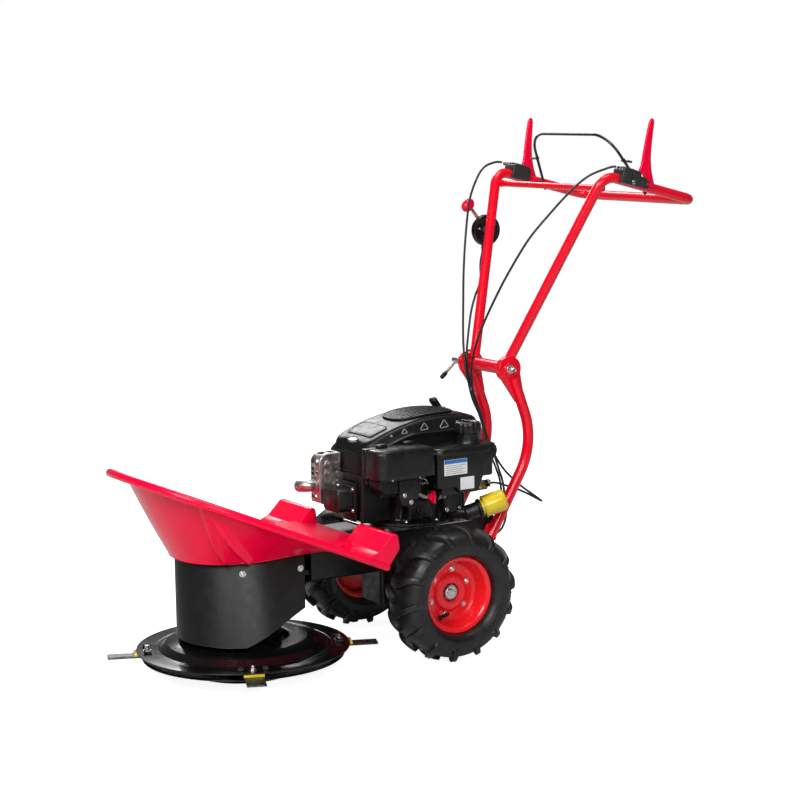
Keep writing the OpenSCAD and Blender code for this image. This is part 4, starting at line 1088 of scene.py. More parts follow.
def make_blower():
    """The black shroud over the flywheel: skirt, sloping nose, raised intake grille and side vents."""
    footprint = resample(rounded([(-118, -143), (72, -143), (80, -60), (80, 180), (34, 222), (-78, 222),
                                  (-120, 180)], [36, 42, 60, 34, 34, 34, 34], 8), 128)
    skirt = 438

    def inset(p, d):
        return p + (Vector((-20, max(-60, min(140, p.y)))) - p).normalized() * d

    rings = []
    for height, gap in ((skirt, 0), (skirt + 2, 0), (skirt + 8, 0.4)):
        rings.append([(q.x, q.y, height) for q in (inset(p, gap) for p in footprint)])
    for k in range(5):
        t = (k + 1) / 5
        rings.append([(q.x, q.y, skirt + 8 + (ledge(q.x, q.y) - skirt - 8) * t)
                      for q in (inset(p, 0.4 + 1.6 * t) for p in footprint)])
    for gap, lift in ((1.0, 1.2), (1.2, 3.2), (2.6, 4.6), (7.2, 5.0)):
        rings.append([(q.x, q.y, ledge(q.x, q.y) + lift) for q in (inset(p, gap) for p in footprint)])
    radius = 12
    for k in range(4):
        t = k / 4
        rings.append([(q.x, q.y, ledge(q.x, q.y) + 6 + (dome(q.x, q.y) - radius - ledge(q.x, q.y) - 6) * t)
                      for q in (inset(p, 8 + 6 * t) for p in footprint)])
    for k in range(7):
        a = math.radians(90 * k / 6)
        rings.append([(q.x, q.y, dome(q.x, q.y) - radius * (1 - math.sin(a)))
                      for q in (inset(p, 14 + radius * (1 - math.cos(a))) for p in footprint)])
    for k in range(1, 9):
        t = k / 8
        ring = []
        for p in footprint:
            q = inset(p, 14 + radius)
            r = q.lerp(Vector((-20, max(-70, min(150, q.y)))), t)
            ring.append((r.x, r.y, dome(r.x, r.y)))
        rings.append(ring)
    shell = loft("shell", rings, sharp=45)
    parts = [paint(shell, "gloss_plastic")]
    grille = [(GRILLE[0] + 58 * math.copysign(abs(math.cos(a)) ** 0.75, math.cos(a)),
               GRILLE[1] + 84 * math.copysign(abs(math.sin(a)) ** 0.75, math.sin(a)))
              for a in (2 * math.pi * k / 72 for k in range(72))]
    # Under the bars a dark pad fills the grille: painted shade where the hollow behind the grille would be.
    parts.append(paint(patch("grille_shade_pad", grille, 1.4), "painted_hollow_shade"))
    border = [(x, y, dome(x, y) + 2.4) for x, y in grille]
    parts.append(paint(sweep("border", border, lambda t: circle(3.2, 12), loop=True), "gloss_plastic"))

    def reach(offset, half, other):
        share = max(0, 1 - (abs(offset) / half) ** (2 / 0.75))
        return other * share ** (0.75 / 2) - 1

    for k in range(-9, 10):
        y = GRILLE[1] + 8.6 * k
        half = reach(8.6 * k, 84, 58)
        if half > 8:
            line = [(GRILLE[0] + half * t / 5, y) for t in range(-5, 6)]
            bar = [(px, py, dome(px, py) + 2.6) for px, py in line]
            parts.append(paint(sweep("bar", bar,
                                     lambda t: [(-1.5, -1.4), (1.5, -1.4), (1.5, 1.4), (-1.5, 1.4)],
                                     start=(0, 0, 1)), "gloss_plastic"))
    for k in range(-5, 6):
        x = GRILLE[0] + 10.4 * k
        half = reach(10.4 * k, 58, 84)
        line = [(x, GRILLE[1] + half * t / 9) for t in range(-9, 10)]
        bar = [(px, py, dome(px, py) + 3.0) for px, py in line]
        parts.append(paint(sweep("bar", bar, lambda t: [(-1.8, -2.4), (1.8, -2.4), (1.8, 2.4), (-1.8, 2.4)],
                                 start=(0, 0, 1)), "gloss_plastic"))
    badge = resample(rounded([(-78, -104), (30, -104), (36, -56), (-74, -56)], 8, 4), 56)
    parts.append(paint(patch("badge", badge, 1.6, 6), "gloss_plastic"))
    trim = [(x, y, dome(x, y) + 1.0) for x, y in badge]
    parts.append(paint(sweep("badge_rim", trim, lambda t: circle(1.3, 8), loop=True), "gloss_plastic"))
    eye = [(-18 + 21 * math.cos(a), -123 + 7.5 * math.sin(a) * abs(math.sin(a)) ** 0.4)
           for a in (2 * math.pi * k / 40 for k in range(40))]
    parts.append(paint(patch("eye", eye, 0.8, 4), "hose"))
    rim = [(x, y, dome(x, y) + 0.8) for x, y in eye]
    parts.append(paint(sweep("eye_rim", rim, lambda t: circle(1.2, 8), loop=True), "gloss_plastic"))
    for y, z, size in ((-66, 527, 3), (-30, 535, 8.5), (25, 541, 12.5), (82, 542, 14)):
        corners = [(y - size, z - size * 0.66), (y + size, z - size * 0.5),
                   (y + size * 0.3, z + size * 0.75)]
        loop = [Vector((crown_x(c.x, c.y), c.x, c.y))
                for c in resample(rounded(corners, size * 0.18, 3), 42)]
        # Each vent's rim takes the light grey finish: a painted highlight along the vent's edge.
        parts.append(paint(sweep("vent_rim_highlight", loop, lambda t: circle(1.1, 8), loop=True, start=(1, 0, 0)),
                           "hose"))
        middle = sum(loop, Vector()) / len(loop)
        # Each vent is closed by a shallow dark plug: painted shade for the hollow behind it.
        layers = [[c + X * 0.4 for c in loop]] + [[c.lerp(middle, 0.12) - X * 3 for c in loop]]
        parts.append(paint(loft("vent", layers), "painted_hollow_shade"))
    for y in (-3, 52, 118):
        rib = [(crown_x(y, z) + 0.4, y + (z - 530) * 0.1, z)
               for z in (ledge(66, y) + 6, ledge(66, y) + 14, dome(66, y) - 12, dome(66, y) - 5)]
        parts.append(paint(sweep("side_rib", curve_through(rib, 4), lambda t: circle(1.8, 8)),
                           "gloss_plastic"))
    brow = [(34, -130), (48, -112), (54, -84), (56, -40), (56, 40), (56, 110), (46, 166)]
    crest = [(x, y, dome(x, y) - 0.4) for x, y in curve_through(brow, 8)]
    parts.append(paint(sweep("brow", crest, lambda t: circle(2.6, 12, 0.7)), "gloss_plastic"))
    foot = [(p.x, p.y, skirt + 1.4) for p in footprint]
    parts.append(paint(sweep("hem", foot, lambda t: circle(2.0, 8), loop=True), "gloss_plastic"))
    parts.append(paint(lathe("grip_seat", [(9.6, -6), (15, -6), (16.5, 0), (15.5, 4), (12, 6), (9.6, 5)],
                             aim((-70, 168, 547), STARTER_PULL), 36), "gloss_plastic"))
    hand_in(join("blower", parts), "chassis", "black_plastic", "blower_housing")


def make_starter_grip():
    """The waisted starter grip, and the rope that runs from the housing to it."""
    place = aim((-70, 205, 500), STARTER_PULL)
    rings = []
    for h, a, b in ((50, 8.2, 7.2), (52, 9.4, 8.4), (60, 9.6, 8.4), (68, 10.0, 8.8), (78, 10.8, 9.2),
                    (88, 12.2, 9.6), (96, 13.4, 9.8), (101, 13.2, 9.4), (104, 11.6, 8), (106, 8, 5.4),
                    (106.6, 0.1, 0.1)):
        rings.append([(a * math.cos(t), b * math.sin(t), h)
                      for t in (2 * math.pi * k / 28 for k in range(28))])
    grip = loft("grip", rings, sharp=60)
    ribs = [tube("rib", [(-8, -8.7 - 0.12 * k, 62 + 6 * k), (8, -8.7 - 0.12 * k, 62 + 6 * k)], 0.9, 8)
            for k in range(4)]
    grip = move(paint(join("starter_handle", [grip] + ribs), "black_plastic"), place)
    hand_in(grip, "starter", "black_plastic", "starter_grip")
    low, high = place @ Vector((0, 0, 30)), place @ Vector((0, 0, 56))
    rope = tube("starter_rope", [low.lerp(high, k / 40) for k in range(41)], 2.1, 12)
    paint(rope, "rubber")
    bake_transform(rope)


def make_tank():
    """The moulded fuel tank with its seam lip, stepped floor and filler neck."""
    near = rounded([(7, 484), (7, 406), (11, 402), (60, 402), (72, 385), (124, 385), (150, 446), (178, 466),
                    (182, 484)], [2, 6, 4, 6, 6, 7, 8, 8, 2], 4)
    parts = [prism("near", near, 86, 154, "X", 5, 4),
             block("far", (80.3, 8, 414), (128, 193, 484), 18, 4, 4),
             prism("floor", rounded([(28, 382), (28, 410), (140, 410), (122, 382)], 4, 3), 98, 140, "X", 3)]
    plan = resample(rounded([(80.5, 5), (155.5, 5), (156, 150), (138, 194), (80.5, 194)],
                            [10, 20, 26, 22, 10], 6), 96)
    middle = Vector((116, 100))
    levels = [(1.0, 480), (1.012, 481), (1.016, 483), (1.012, 486.5), (0.985, 487.5), (0.975, 488.6),
              (0.97, 491), (0.95, 494), (0.90, 496), (0.80, 497), (0.6, 498), (0.3, 498.5), (0.02, 498.6)]
    rings = []
    for share, z in levels:
        rings.append([(min(q.x, 156), max(5, min(194, q.y)), z)
                      for q in (middle.lerp(Vector(p), share) for p in plan)])
    parts.append(loft("lid", rings, sharp=40))
    neck = [(23.2, 6), (30, 6), (30, 9), (28, 12), (27.4, 24), (27.4, 33), (25, 34), (23.2, 34)]
    parts.append(lathe("neck", neck, Matrix.Translation((114, 122, 490)), 56))
    parts.append(sweep("strap", curve_through([(100, 30, 497), (101, 70, 499), (96, 96, 500)], 5),
                       lambda t: [(-5, -2), (5, -2), (5, 2), (-5, 2)], start=(1, 0, 0)))
    parts.append(block("tap_boss", (98, 6, 370), (111, 32, 394), 3, 1.4))
    parts.append(tube("spout", [(112, 34, 378), (112, 60, 378), (112, 74, 380)], 7.5, 24))
    parts.append(lathe("collar", [(7, -3), (9.4, -3), (9.4, 3), (7, 3)], aim((112, 62, 378), Y), 28))
    tank = [paint(join("tank", parts), "black_plastic")]
    label = prism("label", rectangle((26, 432), (92, 470), 1.5), 153.6, 154.5, "X", 0.1, 1)
    band = prism("band", rectangle((26.6, 460), (91.4, 469.6), 1.2), 153.8, 154.7, "X", 0.1, 1)
    tag = prism("tag", rectangle((72, 394), (112, 424), 1.2), 153.6, 154.5, "X", 0.1, 1)
    tank += [paint(label, "label"), paint(band, "label_blue"), paint(tag, "label")]
    for k in range(5):
        line = prism("line", rectangle((30, 436 + 4.6 * k), (86 - 9 * (k % 2), 437.4 + 4.6 * k)), 154.3,
                     154.7, "X", 0)
        tank.append(paint(line, "hose"))
    hand_in(join("tank", tank), "chassis", "black_plastic", "fuel_tank")


def make_cap():
    """The fuel cap with its twelve flutes and the grip across its top."""
    rings = []
    for r, depth, z in ((29, 0, 0), (31.6, 1.0, 0.8), (32.6, 2.2, 3), (32.8, 2.8, 8), (32.6, 2.8, 17),
                        (31.8, 2.2, 21.5), (29.6, 1.2, 24.6), (26.5, 0.3, 26), (21, 0, 26.2), (19.4, 0, 25),
                        (8, 0, 24.6), (0.1, 0, 24.6)):
        rings.append([((r - depth * (0.5 + 0.5 * math.cos(12 * a)) ** 2) * math.cos(a),
                       (r - depth * (0.5 + 0.5 * math.cos(12 * a)) ** 2) * math.sin(a), z)
                      for a in (2 * math.pi * k / 144 for k in range(144))])
    parts = [loft("cap", rings, sharp=40)]
    parts.append(lathe("plug", [(0, -13), (21.6, -13), (22.6, -12), (22.6, 1), (0, 1)], segments=48))
    parts.append(block("grip", (-24, -3.4, 23), (24, 3.4, 28.4), 3, 1.4))
    cap = move(paint(join("tank_cap", parts), "black_plastic"), AT_FILLER)
    hand_in(cap, "cap", "black_plastic", "fuel_cap")


def make_air_cleaner():
    """The moulded cover with two latch tabs."""
    plan = resample(rounded([(100, -164.5), (167.5, -164.5), (167.5, -3), (100, -3)], [12, 30, 15, 10], 8),
                    96)
    middle = Vector((132, -84))

    def at(p, d):
        q = Vector(p)
        return q + Vector((math.copysign(d, middle.x - q.x) * min(1, abs(q.x - middle.x) / 20),
                           math.copysign(d, middle.y - q.y) * min(1, abs(q.y - middle.y) / 40)))

    rings = []
    for d, z in ((3.2, 446), (3.2, 442.2), (0.4, 442), (0, 443.2), (0, 450), (1.0, 480), (1.8, 499)):
        rings.append([(*at(p, d), z) for p in plan])
    for k in range(1, 7):
        a = math.radians(15 * k)
        rings.append([(*at(p, 1.8 + 11 * (1 - math.cos(a))), 499 + 11.4 * math.sin(a)) for p in plan])
    for share, z in ((0.7, 511), (0.4, 511.6), (0.02, 511.8)):
        rings.append([(*middle.lerp(at(p, 12.8), share), z) for p in plan])
    parts = [paint(loft("cover", rings, sharp=40), "black_plastic")]
    for y in (-122, -46):
        parts.append(paint(block("tab", (101, y - 13, 503), (121, y + 12, 517.5), 4, 2.2), "gloss_plastic"))
        parts.append(paint(block("tab_top", (103, y - 10, 516.5), (119, y + 9, 519), 3, 1),
                           "gloss_plastic"))
    hand_in(join("air_cover", parts), "filter_cover", "black_plastic", "air_cleaner_cover")


def make_intake():
    """The intake box under the air cleaner, with its bracket, carburettor bowl, links and fuel hose."""
    box_outline = rounded([(-152, 438), (-152, 418), (-136, 404), (-98, 402), (-92, 438)], [3, 10, 8, 5, 3],
                          5)
    parts = [paint(prism("box", box_outline, 98, 146, "X", 4, 4), "gloss_plastic"),
             paint(block("plate", (79.6, -118, 386), (98, -34, 441), 4, 2), "black_plastic"),
             paint(block("back_plate", (79.6, -160, 441.4), (99, -8, 508), 6, 2), "black_plastic"),
             paint(block("shelf", (98, -150, 434), (150, -20, 440.6), 8, 1.6), "black_plastic")]
    bracket = rounded([(-98, 434), (-98, 392), (-90, 372), (-62, 372), (-58, 404), (-52, 434)],
                      [2, 10, 8, 5, 6, 2], 4)
    parts.append(paint(prism("bracket", bracket, 146, 150.5, "X", 1.2), "black_plastic"))
    parts.append(paint(prism("arm", rounded([(-58, 434), (-58, 384), (-40, 380), (-30, 434)], 4, 3), 128,
                             140, "X", 2), "black_plastic"))
    parts.append(paint(block("throat", (98, -74, 392), (132, -40, 434), 8, 2.4), "cast"))
    parts.append(paint(lathe("bowl", [(0, -14), (12, -14), (15, -11), (15.6, 4), (17, 6), (17, 9), (0, 9)],
                             aim((116, -56, 380), Z), 40), "aluminium"))
    for y, z, x in ((-84, 398, 150.6), (-66, 380, 150.6), (-58, 426, 140.4)):
        parts.append(paint(hex_head("screw", (x, y, z), X, 4.2, 3, 1.4, 15), "zinc"))
    for y in (-120, -44):
        parts.append(paint(lathe("stud", [(0, 0), (3, 0), (3, 9), (2.4, 10), (0, 10)],
                                 aim((146, y, 438), X), 16), "zinc"))
    link = [(134, -34, 426), (137, -24, 430), (138, -14, 424), (132, -6, 416), (118, 0, 414)]
    parts.append(paint(tube("link", curve_through(link, 6), 1.3, 8), "zinc"))
    spring = [(134 + 3 * math.cos(t), -30 + 2.0 * t / 2.2, 418 + 3 * math.sin(t))
              for t in (0.5 * k for k in range(50))]
    parts.append(paint(tube("spring", spring, 0.6, 6), "zinc"))
    hose = [(112, 12, 378), (112, -2, 379), (113, -14, 384), (112, -26, 390), (112, -38, 392)]
    parts.append(paint(tube("hose", curve_through(hose, 6), 4.6, 16), "hose"))
    for y in (38, 50):
        grip_ring = lathe("connector", [(7, -3.6), (9.4, -3.2), (9.4, 3.2), (7, 3.6)],
                          aim((112, y, 378), Y), 28)
        parts.append(paint(grip_ring, "hose"))
    for y, z in ((-3, 379), (-24, 389)):
        parts.append(paint(lathe("clamp", [(4.4, -3), (5.9, -3), (5.9, 3), (4.4, 3)],
                                 aim((112, y, z), (0, -1, 0.25)), 24), "zinc"))
    hand_in(join("intake", parts), "chassis", "black_plastic", "carburettor")


def make_tap():
    """The fuel tap's round handle with its grip and pin."""
    at = Vector((0, 14, 378))
    parts = [paint(lathe("wheel",
                         [(0, 112.4), (9, 112.4), (10.4, 114), (10.4, 120), (9, 122.6), (6, 123.4),
                          (0, 123.4)], aim(at, X), 40), "red_plastic"),
             paint(prism("grip", rounded([(10.6, 363), (17.4, 363), (16.6, 393), (11.4, 393)], 3, 4), 118,
                         130, "X", 2, 4), "red_plastic"),
             paint(lathe("pin", [(0, 99.2), (4, 99.2), (4, 113), (0, 113)], aim(at, X), 24), "zinc")]
    hand_in(join("tap_handle", parts), "tap", "red_plastic", "fuel_tap")


def make_oil_filter():
    """The spin-on oil filter with a fluted end."""
    profile = [(0, -5.8), (19, -5.8), (20, -4.8), (20, -0.6), (25.4, -0.6), (27.6, 0.6), (27.6, 3.2),
               (26.6, 4.4), (26.8, 6), (26.9, 44), (26.2, 50), (24, 54.6), (20.4, 57.2), (17.6, 57.8),
               (16.8, 56.6), (15.4, 56.2), (14, 57.0), (9, 57.6), (0, 57.9)]
    body = lathe("can", profile, AT_OIL_FILTER, 72, sharp=28)
    dimples = []
    for k in range(10):
        a = math.radians(36 * k)
        dimples.append(tube("flute",
                            [AT_OIL_FILTER @ Vector((24.9 * math.cos(a), 24.9 * math.sin(a), 47)),
                             AT_OIL_FILTER @ Vector((22.2 * math.cos(a), 22.2 * math.sin(a), 55))], 1.8, 8))
    can = paint(join("oil_can", [body] + dimples), "yellow_paint")
    hand_in(can, "chassis", "yellow_paint", "oil_filter")


def make_bracket():
    """The folded control bracket with the cable's clamp, its wire and the bolts."""
    parts = [block("foot", (41, 89, 425.2), (79, 117, 428), 4, 0.8),
             prism("leg",
                   rounded([(90, 427.6), (118, 427.6), (146, 384), (160, 378), (160, 372.4), (132, 372.4),
                            (100, 396)], 5, 3), 77.2, 79.8, "X", 0.6),
             block("shelf", (77.2, 150.4, 372.4), (95, 193.4, 375), 3, 0.7),
             prism("ear",
                   rounded([(151, 373), (193, 373), (193.6, 397), (176, 397), (168, 386), (151, 384)], 3,
                           3), 92.3, 95, "X", 0.6)]
    plates = paint(join("plates", parts), "bracket")
    more = [plates,
            paint(block("clamp", (95, 185, 381), (107, 193.6, 398), 2, 1.2), "black_plastic"),
            paint(hex_head("clamp_screw", (107, 189.5, 394), X, 3.4, 2.4, 1.3), "zinc"),
            paint(tube("wire", [(102, 196, 389), (100, 170, 388), (99, 148, 387)], 0.8, 8), "zinc"),
            paint(lathe("swivel", [(0, 0), (4, 0), (4, 7), (0, 7)], aim((95, 150, 386), X), 20), "zinc"),
            paint(hex_head("foot_bolt", (60, 103, 428.2), Z, 4.6, 3.6), "zinc")]
    for y in (158, 172):
        more.append(paint(hex_head("bolt", (95.2, y, 379), X, 3.2, 2.2, 1.3), "zinc"))
    hand_in(join("cable_bracket", more), "chassis", "zinc", "control_bracket")


def make_valve_cover():
    """The valve cover on its flange, with its bolts."""
    plate = rectangle((-36, 345), (45, 410), 9)
    parts = [prism("flange", plate, -160, -152.5, "Y", 1.2),
             prism("body", rectangle((-32, 349), (41, 406), 14), -203, -158, "Y", 6, 4),
             prism("pad", rectangle((-22, 360), (31, 396), 8), -206, -200, "Y", 1.6, 3)]
    cover = paint(join("rocker_cover", parts), "cast")
    screws = [paint(hex_head("bolt", (x, -160.4, z), -Y, 4.2, 3.4, 1.3), "zinc")
              for x, z in ((-29, 352), (38, 352), (38, 403), (-29, 403))]
    hand_in(join("rocker_cover", [cover] + screws), "chassis", "black_paint", "valve_cover")


def make_muffler():
    """The pressed muffler with its seam and outlet elbow, inside a perforated guard."""
    can = [(-191, 369), (-119, 369), (-119, 434), (-149, 434), (-149, 471), (-191, 471)]
    parts = [prism("can", rounded(can, [18, 14, 6, 8, 16, 18], 5), -74, -42.2, "X", 5, 4)]
    edge = [(-192.4, 367.6), (-117.6, 367.6), (-117.6, 435.4), (-147.8, 435.4), (-147.8, 472),
            (-192.4, 472)]
    seam = [(-58, y, z) for y, z in rounded(edge, [19, 15, 6, 8, 17, 19], 6)]
    parts.append(sweep("seam", seam, lambda t: circle(2.2, 8), loop=True, start=(1, 0, 0)))
    path = rounded([Vector((-60, -180, 405)), Vector((-60, -232.6, 405)), Vector((-88, -232.6, 402))],
                   [0, 15.5, 0], 10, closed=False)
    parts.append(sweep("outlet", path, lambda t: circle(14.8, 32), sharp=50))
    end, direction = path[-1], (path[-1] - path[-2]).normalized()
    parts.append(lathe("outlet_rim",
                       [(10.8, -3), (14.8, -3), (15.6, -1.6), (15.6, 0.6), (14.8, 1.4), (12, 1.4),
                        (10.8, 0.6)], aim(end, direction), 40))
    parts.append(lathe("outlet_seat", [(14.4, -1), (19.6, -1), (19.6, 2), (14.4, 3.4)],
                       aim((-60, -207, 405), -Y), 40))
    hand_in(paint(join("silencer", parts), "muffler_metal"), "chassis", "muffler_metal", "muffler")


def make_guard():
    """A pressed cage with a rounded top, open behind and below, with slots of several sizes."""
    outer = rounded([(-206, 360), (-110, 360), (-110, 482), (-206, 482)], [8, 3, 3, 24], 8)
    inner = rounded([(-204.2, 350), (-104, 350), (-104, 480.2), (-204.2, 480.2)], [1, 1, 1, 22.2], 8)
    shell = prism("guard", outer, -82, -38.5, "X", 5, 4)
    core = prism("core", inner, -80.2, -40.3, "X", 3.2, 3)
    holes = [lathe("port", [(0, -20), (17.5, -20), (17.5, 20), (0, 20)], aim((-60, -206, 405), -Y), 40)]
    front = ((-70.5, 463, 7.2, 6), (-50.5, 461, 6.6, 7.4), (-70.5, 444, 6.8, 4.4), (-70.5, 432, 6.8, 4.4),
             (-50.5, 436, 5.4, 4.6), (-72, 376, 5, 4.6), (-58, 376, 6, 4.6))
    for x, z, half_w, half_h in front:
        holes.append(prism("hole", rectangle((x - half_w, z - half_h), (x + half_w, z + half_h), 3.8, 4),
                           -220, -190, "Y", 0))
    for y in (-186, -162, -138):
        for z in (376, 397, 418, 439, 462):
            slot = rectangle((y - 8.6, z - 6.6), (y + 8.6, z + 6.6), 5.4, 4)
            holes.append(prism("hole", slot, -100, -20, "X", 0))
        holes.append(prism("hole", rectangle((-75, y - 7), (-46, y + 7), 5.4, 4), 470, 500, "Z", 0))
    cut(shell, [core, block("behind", (-100, -147.4, 436.8), (-20, -90, 500), 0, 0)])
    guard = paint(cut(shell, holes), "muffler_metal")
    hand_in(guard, "chassis", "muffler_metal", "muffler_guard")


# ---- Frame ----

DISC_ANGLES = [math.radians(247.2 + 90 * i) for i in range(4)]
AT_DRUM = Matrix.Translation((0, -444, 0))


def at_blade(i):
    """The frame of a blade's bolt: its origin on the ground, X pointing out from the drum's axis."""
    return AT_DRUM @ Matrix.Rotation(DISC_ANGLES[i], 4, "Z") @ Matrix.Translation((225, 0, 0))


def make_beam():
    """The folded main beam with its end box, and the neck plate that carries the spindle."""
    shell = block("shell", (-76, -300, 205), (76, 225, 301), 0, 3, 4, "X")
    core = block("core", (-73, -320, 208), (73, 222, 298), 0, 1)
    tools = [core, lathe("port", [(0, 290), (50, 290), (50, 310), (0, 310)], aim((0, 38, 0), Z), 64),
             lathe("port", [(0, 190), (14, 190), (14, 215), (0, 215)], aim((0, -46.4, 0), Z), 32)]
    shell = cut(shell, tools)
    neck = prism("neck", [(-76, -300), (-76, -444), (76, -444), (76, -300)], 205, 208, "Z", 0.6)
    ring = lathe("ring", [(20, 205), (151, 205), (151, 208), (20, 208)], AT_DRUM, 96)
    parts = [shell, neck, ring]
    for side in (1, -1):
        seam = [(76.6 * side, y, 206.5 + 0.5 * (k % 2)) for k, y in enumerate(range(-298, 222, 8))]
        parts.append(tube("seam", seam, 1.6, 8))
        for z in (222, 284):
            parts.append(lathe("rivet", [(0, -1), (6, -1), (6, 1), (4.2, 3), (0, 3.6)],
                               aim((76 * side, 212, z), X * side), 24))
    lid = block("lid", (-62, 150, 301), (62, 219, 306), 8, 2)
    parts.append(lid)
    beam = paint(join("beam", parts), "black_satin")
    hand_in(beam, "chassis", "black_paint", "main_beam")


def make_engine_plate():
    """The plate under the engine, with a bolt at each corner."""
    plate = block("plate", (-98, -112, 301.2), (98, 149, 305), 14, 0.8)
    cut(plate, [lathe("port", [(0, 295), (50, 295), (50, 310), (0, 310)], aim((0, 38, 0), Z), 64)])
    parts = [paint(plate, "steel")]
    for x, y in ((-88, -96), (88, -96), (-88, 136), (88, 136)):
        parts.append(paint(hex_head("plate_bolt", (x, y, 305), Z, 6.5, 5, 1.4, 20), "zinc"))
    hand_in(join("engine_plate_top", parts), "chassis", "steel", "engine_plate")


def make_shroud():
    """The round front plate around the drum, with rolled edges and a lower edge that rises to the rear."""
    radius, wall, rear, top = 155, 3, 81.5, 297
    plan = [(radius, rear - rear * k / 10) for k in range(10)]
    plan += [(radius * math.cos(math.radians(a)), -radius * math.sin(math.radians(a)))
             for a in range(0, 181, 3)]
    plan += [(-radius, rear * k / 10) for k in range(1, 11)]
    lower = [(-400, 93), (-66, 93), (-50, 100), (14, 134), (82, 170), (90, 172)]

    def bottom(y):
        for (a, low), (b, high) in zip(lower, lower[1:]):
            if y <= b:
                return low + (high - low) * (y - a) / (b - a)
        return lower[-1][1]

    rings = []
    for point in plan:
        p = Vector(point)
        out = Vector((math.copysign(1, p.x), 0)) if p.y > 0 else p.normalized()
        low = bottom(p.y)
        section = [(0, low + 1.2), (0, top - 1.2), (-0.9, top), (-wall + 0.9, top), (-wall, top - 1.2),
                   (-wall, low + 1.2), (-wall - 0.6, low + 0.2), (-wall / 2, low - 0.9), (0.6, low + 0.2)]
        rings.append([(p.x + out.x * d, p.y + out.y * d, z) for d, z in section])
    shell = move(loft("shell", rings, sharp=50), AT_DRUM)
    hand_in(paint(join("shroud", [shell]), "black_satin"), "chassis", "black_paint", "drum_shroud")
    bolts = []
    for side in (1, -1):
        bolts.append(hex_head("bolt", AT_DRUM @ Vector((side * 155, 71, 263)), X * side, 5.6, 4.6, 1.4, 8))
        a = math.radians(-27)
        out = Vector((side * math.cos(a), math.sin(a), 0))
        bolts.append(hex_head("bolt", AT_DRUM @ Vector((0, 0, 266)) + out * 155, out, 5.6, 4.6, 1.4, 22))
        for spot, axis in ((AT_DRUM @ Vector((side * 152, 71, 263)), X * -side),
                           (AT_DRUM @ Vector((0, 0, 266)) + out * 152, -out)):
            bolts.append(lathe("shank", [(0, -2), (4, -2), (4, 10), (0, 10)], aim(spot, axis), 20))
            bolts.append(hex_head("nut", spot, axis, 7, 5.4, 1.4))
    hand_in(paint(join("shroud_bolts", bolts), "zinc"), "chassis", "zinc", "frame_bolts")


def make_gearbox():
    """The cast gearbox case with bearing bosses, cover bolts and webs."""
    case = block("case", (-50, -90, 112), (50, 55, 204.8), 10, 5, 4)
    inner = block("inner", (-42, -82, 118), (42, 47, 198), 0, 1)
    tools = [inner, lathe("bore", [(0, -80), (20, -80), (20, 80), (0, 80)], aim((0, 0, 165), X), 48),
             lathe("bore", [(0, 190), (16, 190), (16, 220), (0, 220)], aim((0, -46.4, 0), Z), 40)]
    case = cut(case, tools)
    parts = [case]
    for side in (1, -1):
        parts.append(lathe("boss", [(20.2, 48), (33, 48), (31, 56), (29.5, 58), (20.2, 58)],
                           aim((0, 0, 165), X * side), 48))
        for k in range(6):
            a = math.radians(60 * k + 30)
            spot = Vector((50 * side, 26.5 * math.cos(a), 165 + 26.5 * math.sin(a)))
            parts.append(hex_head("cover_bolt", spot + X * side * 7.6, X * side, 2.6, 2.4, 1.3))
        for y in (-66, -44, 38):
            parts.append(block("web", (side * 52 - 2.6, y - 2, 122), (side * 52 + 2.6, y + 2, 200), 0, 1.4))
    hand_in(paint(join("gear_case", parts), "cast"), "chassis", "cast", "gearbox_case")


# ---- Cutting drum ----


def make_disc():
    """The pressed cutting disc with its tabs, and the drum tube that is welded to it."""
    profile = rounded([(12.7, 63), (30, 63), (30, 72), (40, 72), (40, 63), (104, 63), (108, 84), (150, 82),
                       (182, 74), (197, 60), (250.6, 60), (250.6, 57), (195.5, 57), (180.5, 71),
                       (149.5, 79), (110.5, 81), (106.5, 60), (12.7, 60)],
                      [0.3, 3, 2, 2, 4, 3, 4, 9, 9, 7, 1.2, 1.2, 8, 8, 8, 4, 2, 0.3], 5)
    parts = [lathe("disc", profile, AT_DRUM, 192, 50)]
    bead = lathe("bead", [(206, 59.6), (209, 61.3), (212, 59.6)], AT_DRUM, 160, 60)
    parts.append(bead)
    holes = []
    for i in range(4):
        holes.append(lathe("hole", [(0, 50), (5.05, 50), (5.05, 70), (0, 70)], at_blade(i), 24))
        for s in (1, -1):
            tab = prism("tab",
                        rounded([(-9, s * 28 - 8), (9, s * 28 - 8), (9, s * 28 + 8), (-9, s * 28 + 8)], 3,
                                4), 58.5, 67, "Z", 1.6, 3)
            parts.append(move(tab, at_blade(i)))
            lip = block("lip", (5, s * 28 - 6, 66), (8, s * 28 + 6, 70.5), 0, 1.2)
            parts.append(move(lip, at_blade(i)))
    parts[0] = cut(parts[0], holes, 50)
    hand_in(paint(join("disc", parts), "black_gloss"), "rotor", "black_paint", "cutting_disc")
    drum = rounded([(70, 63), (91, 63), (91, 178), (88, 178), (88, 66), (70, 66)], [1, 3, 1, 1, 2, 1], 4)
    tube_parts = [lathe("drum", drum, AT_DRUM, 128, 40)]
    tube_parts.append(lathe("weld", [(90, 63.4), (94, 63.6), (93.4, 65.6), (91.6, 67.4), (90, 68)], AT_DRUM,
                            128, 60))
    tube_parts.append(lathe("band", [(90.5, 150), (92.4, 151), (92.4, 158), (90.5, 159)], AT_DRUM, 128, 40))
    hand_in(paint(join("drum", tube_parts), "black_paint"), "rotor", "black_paint", "drum_tube")


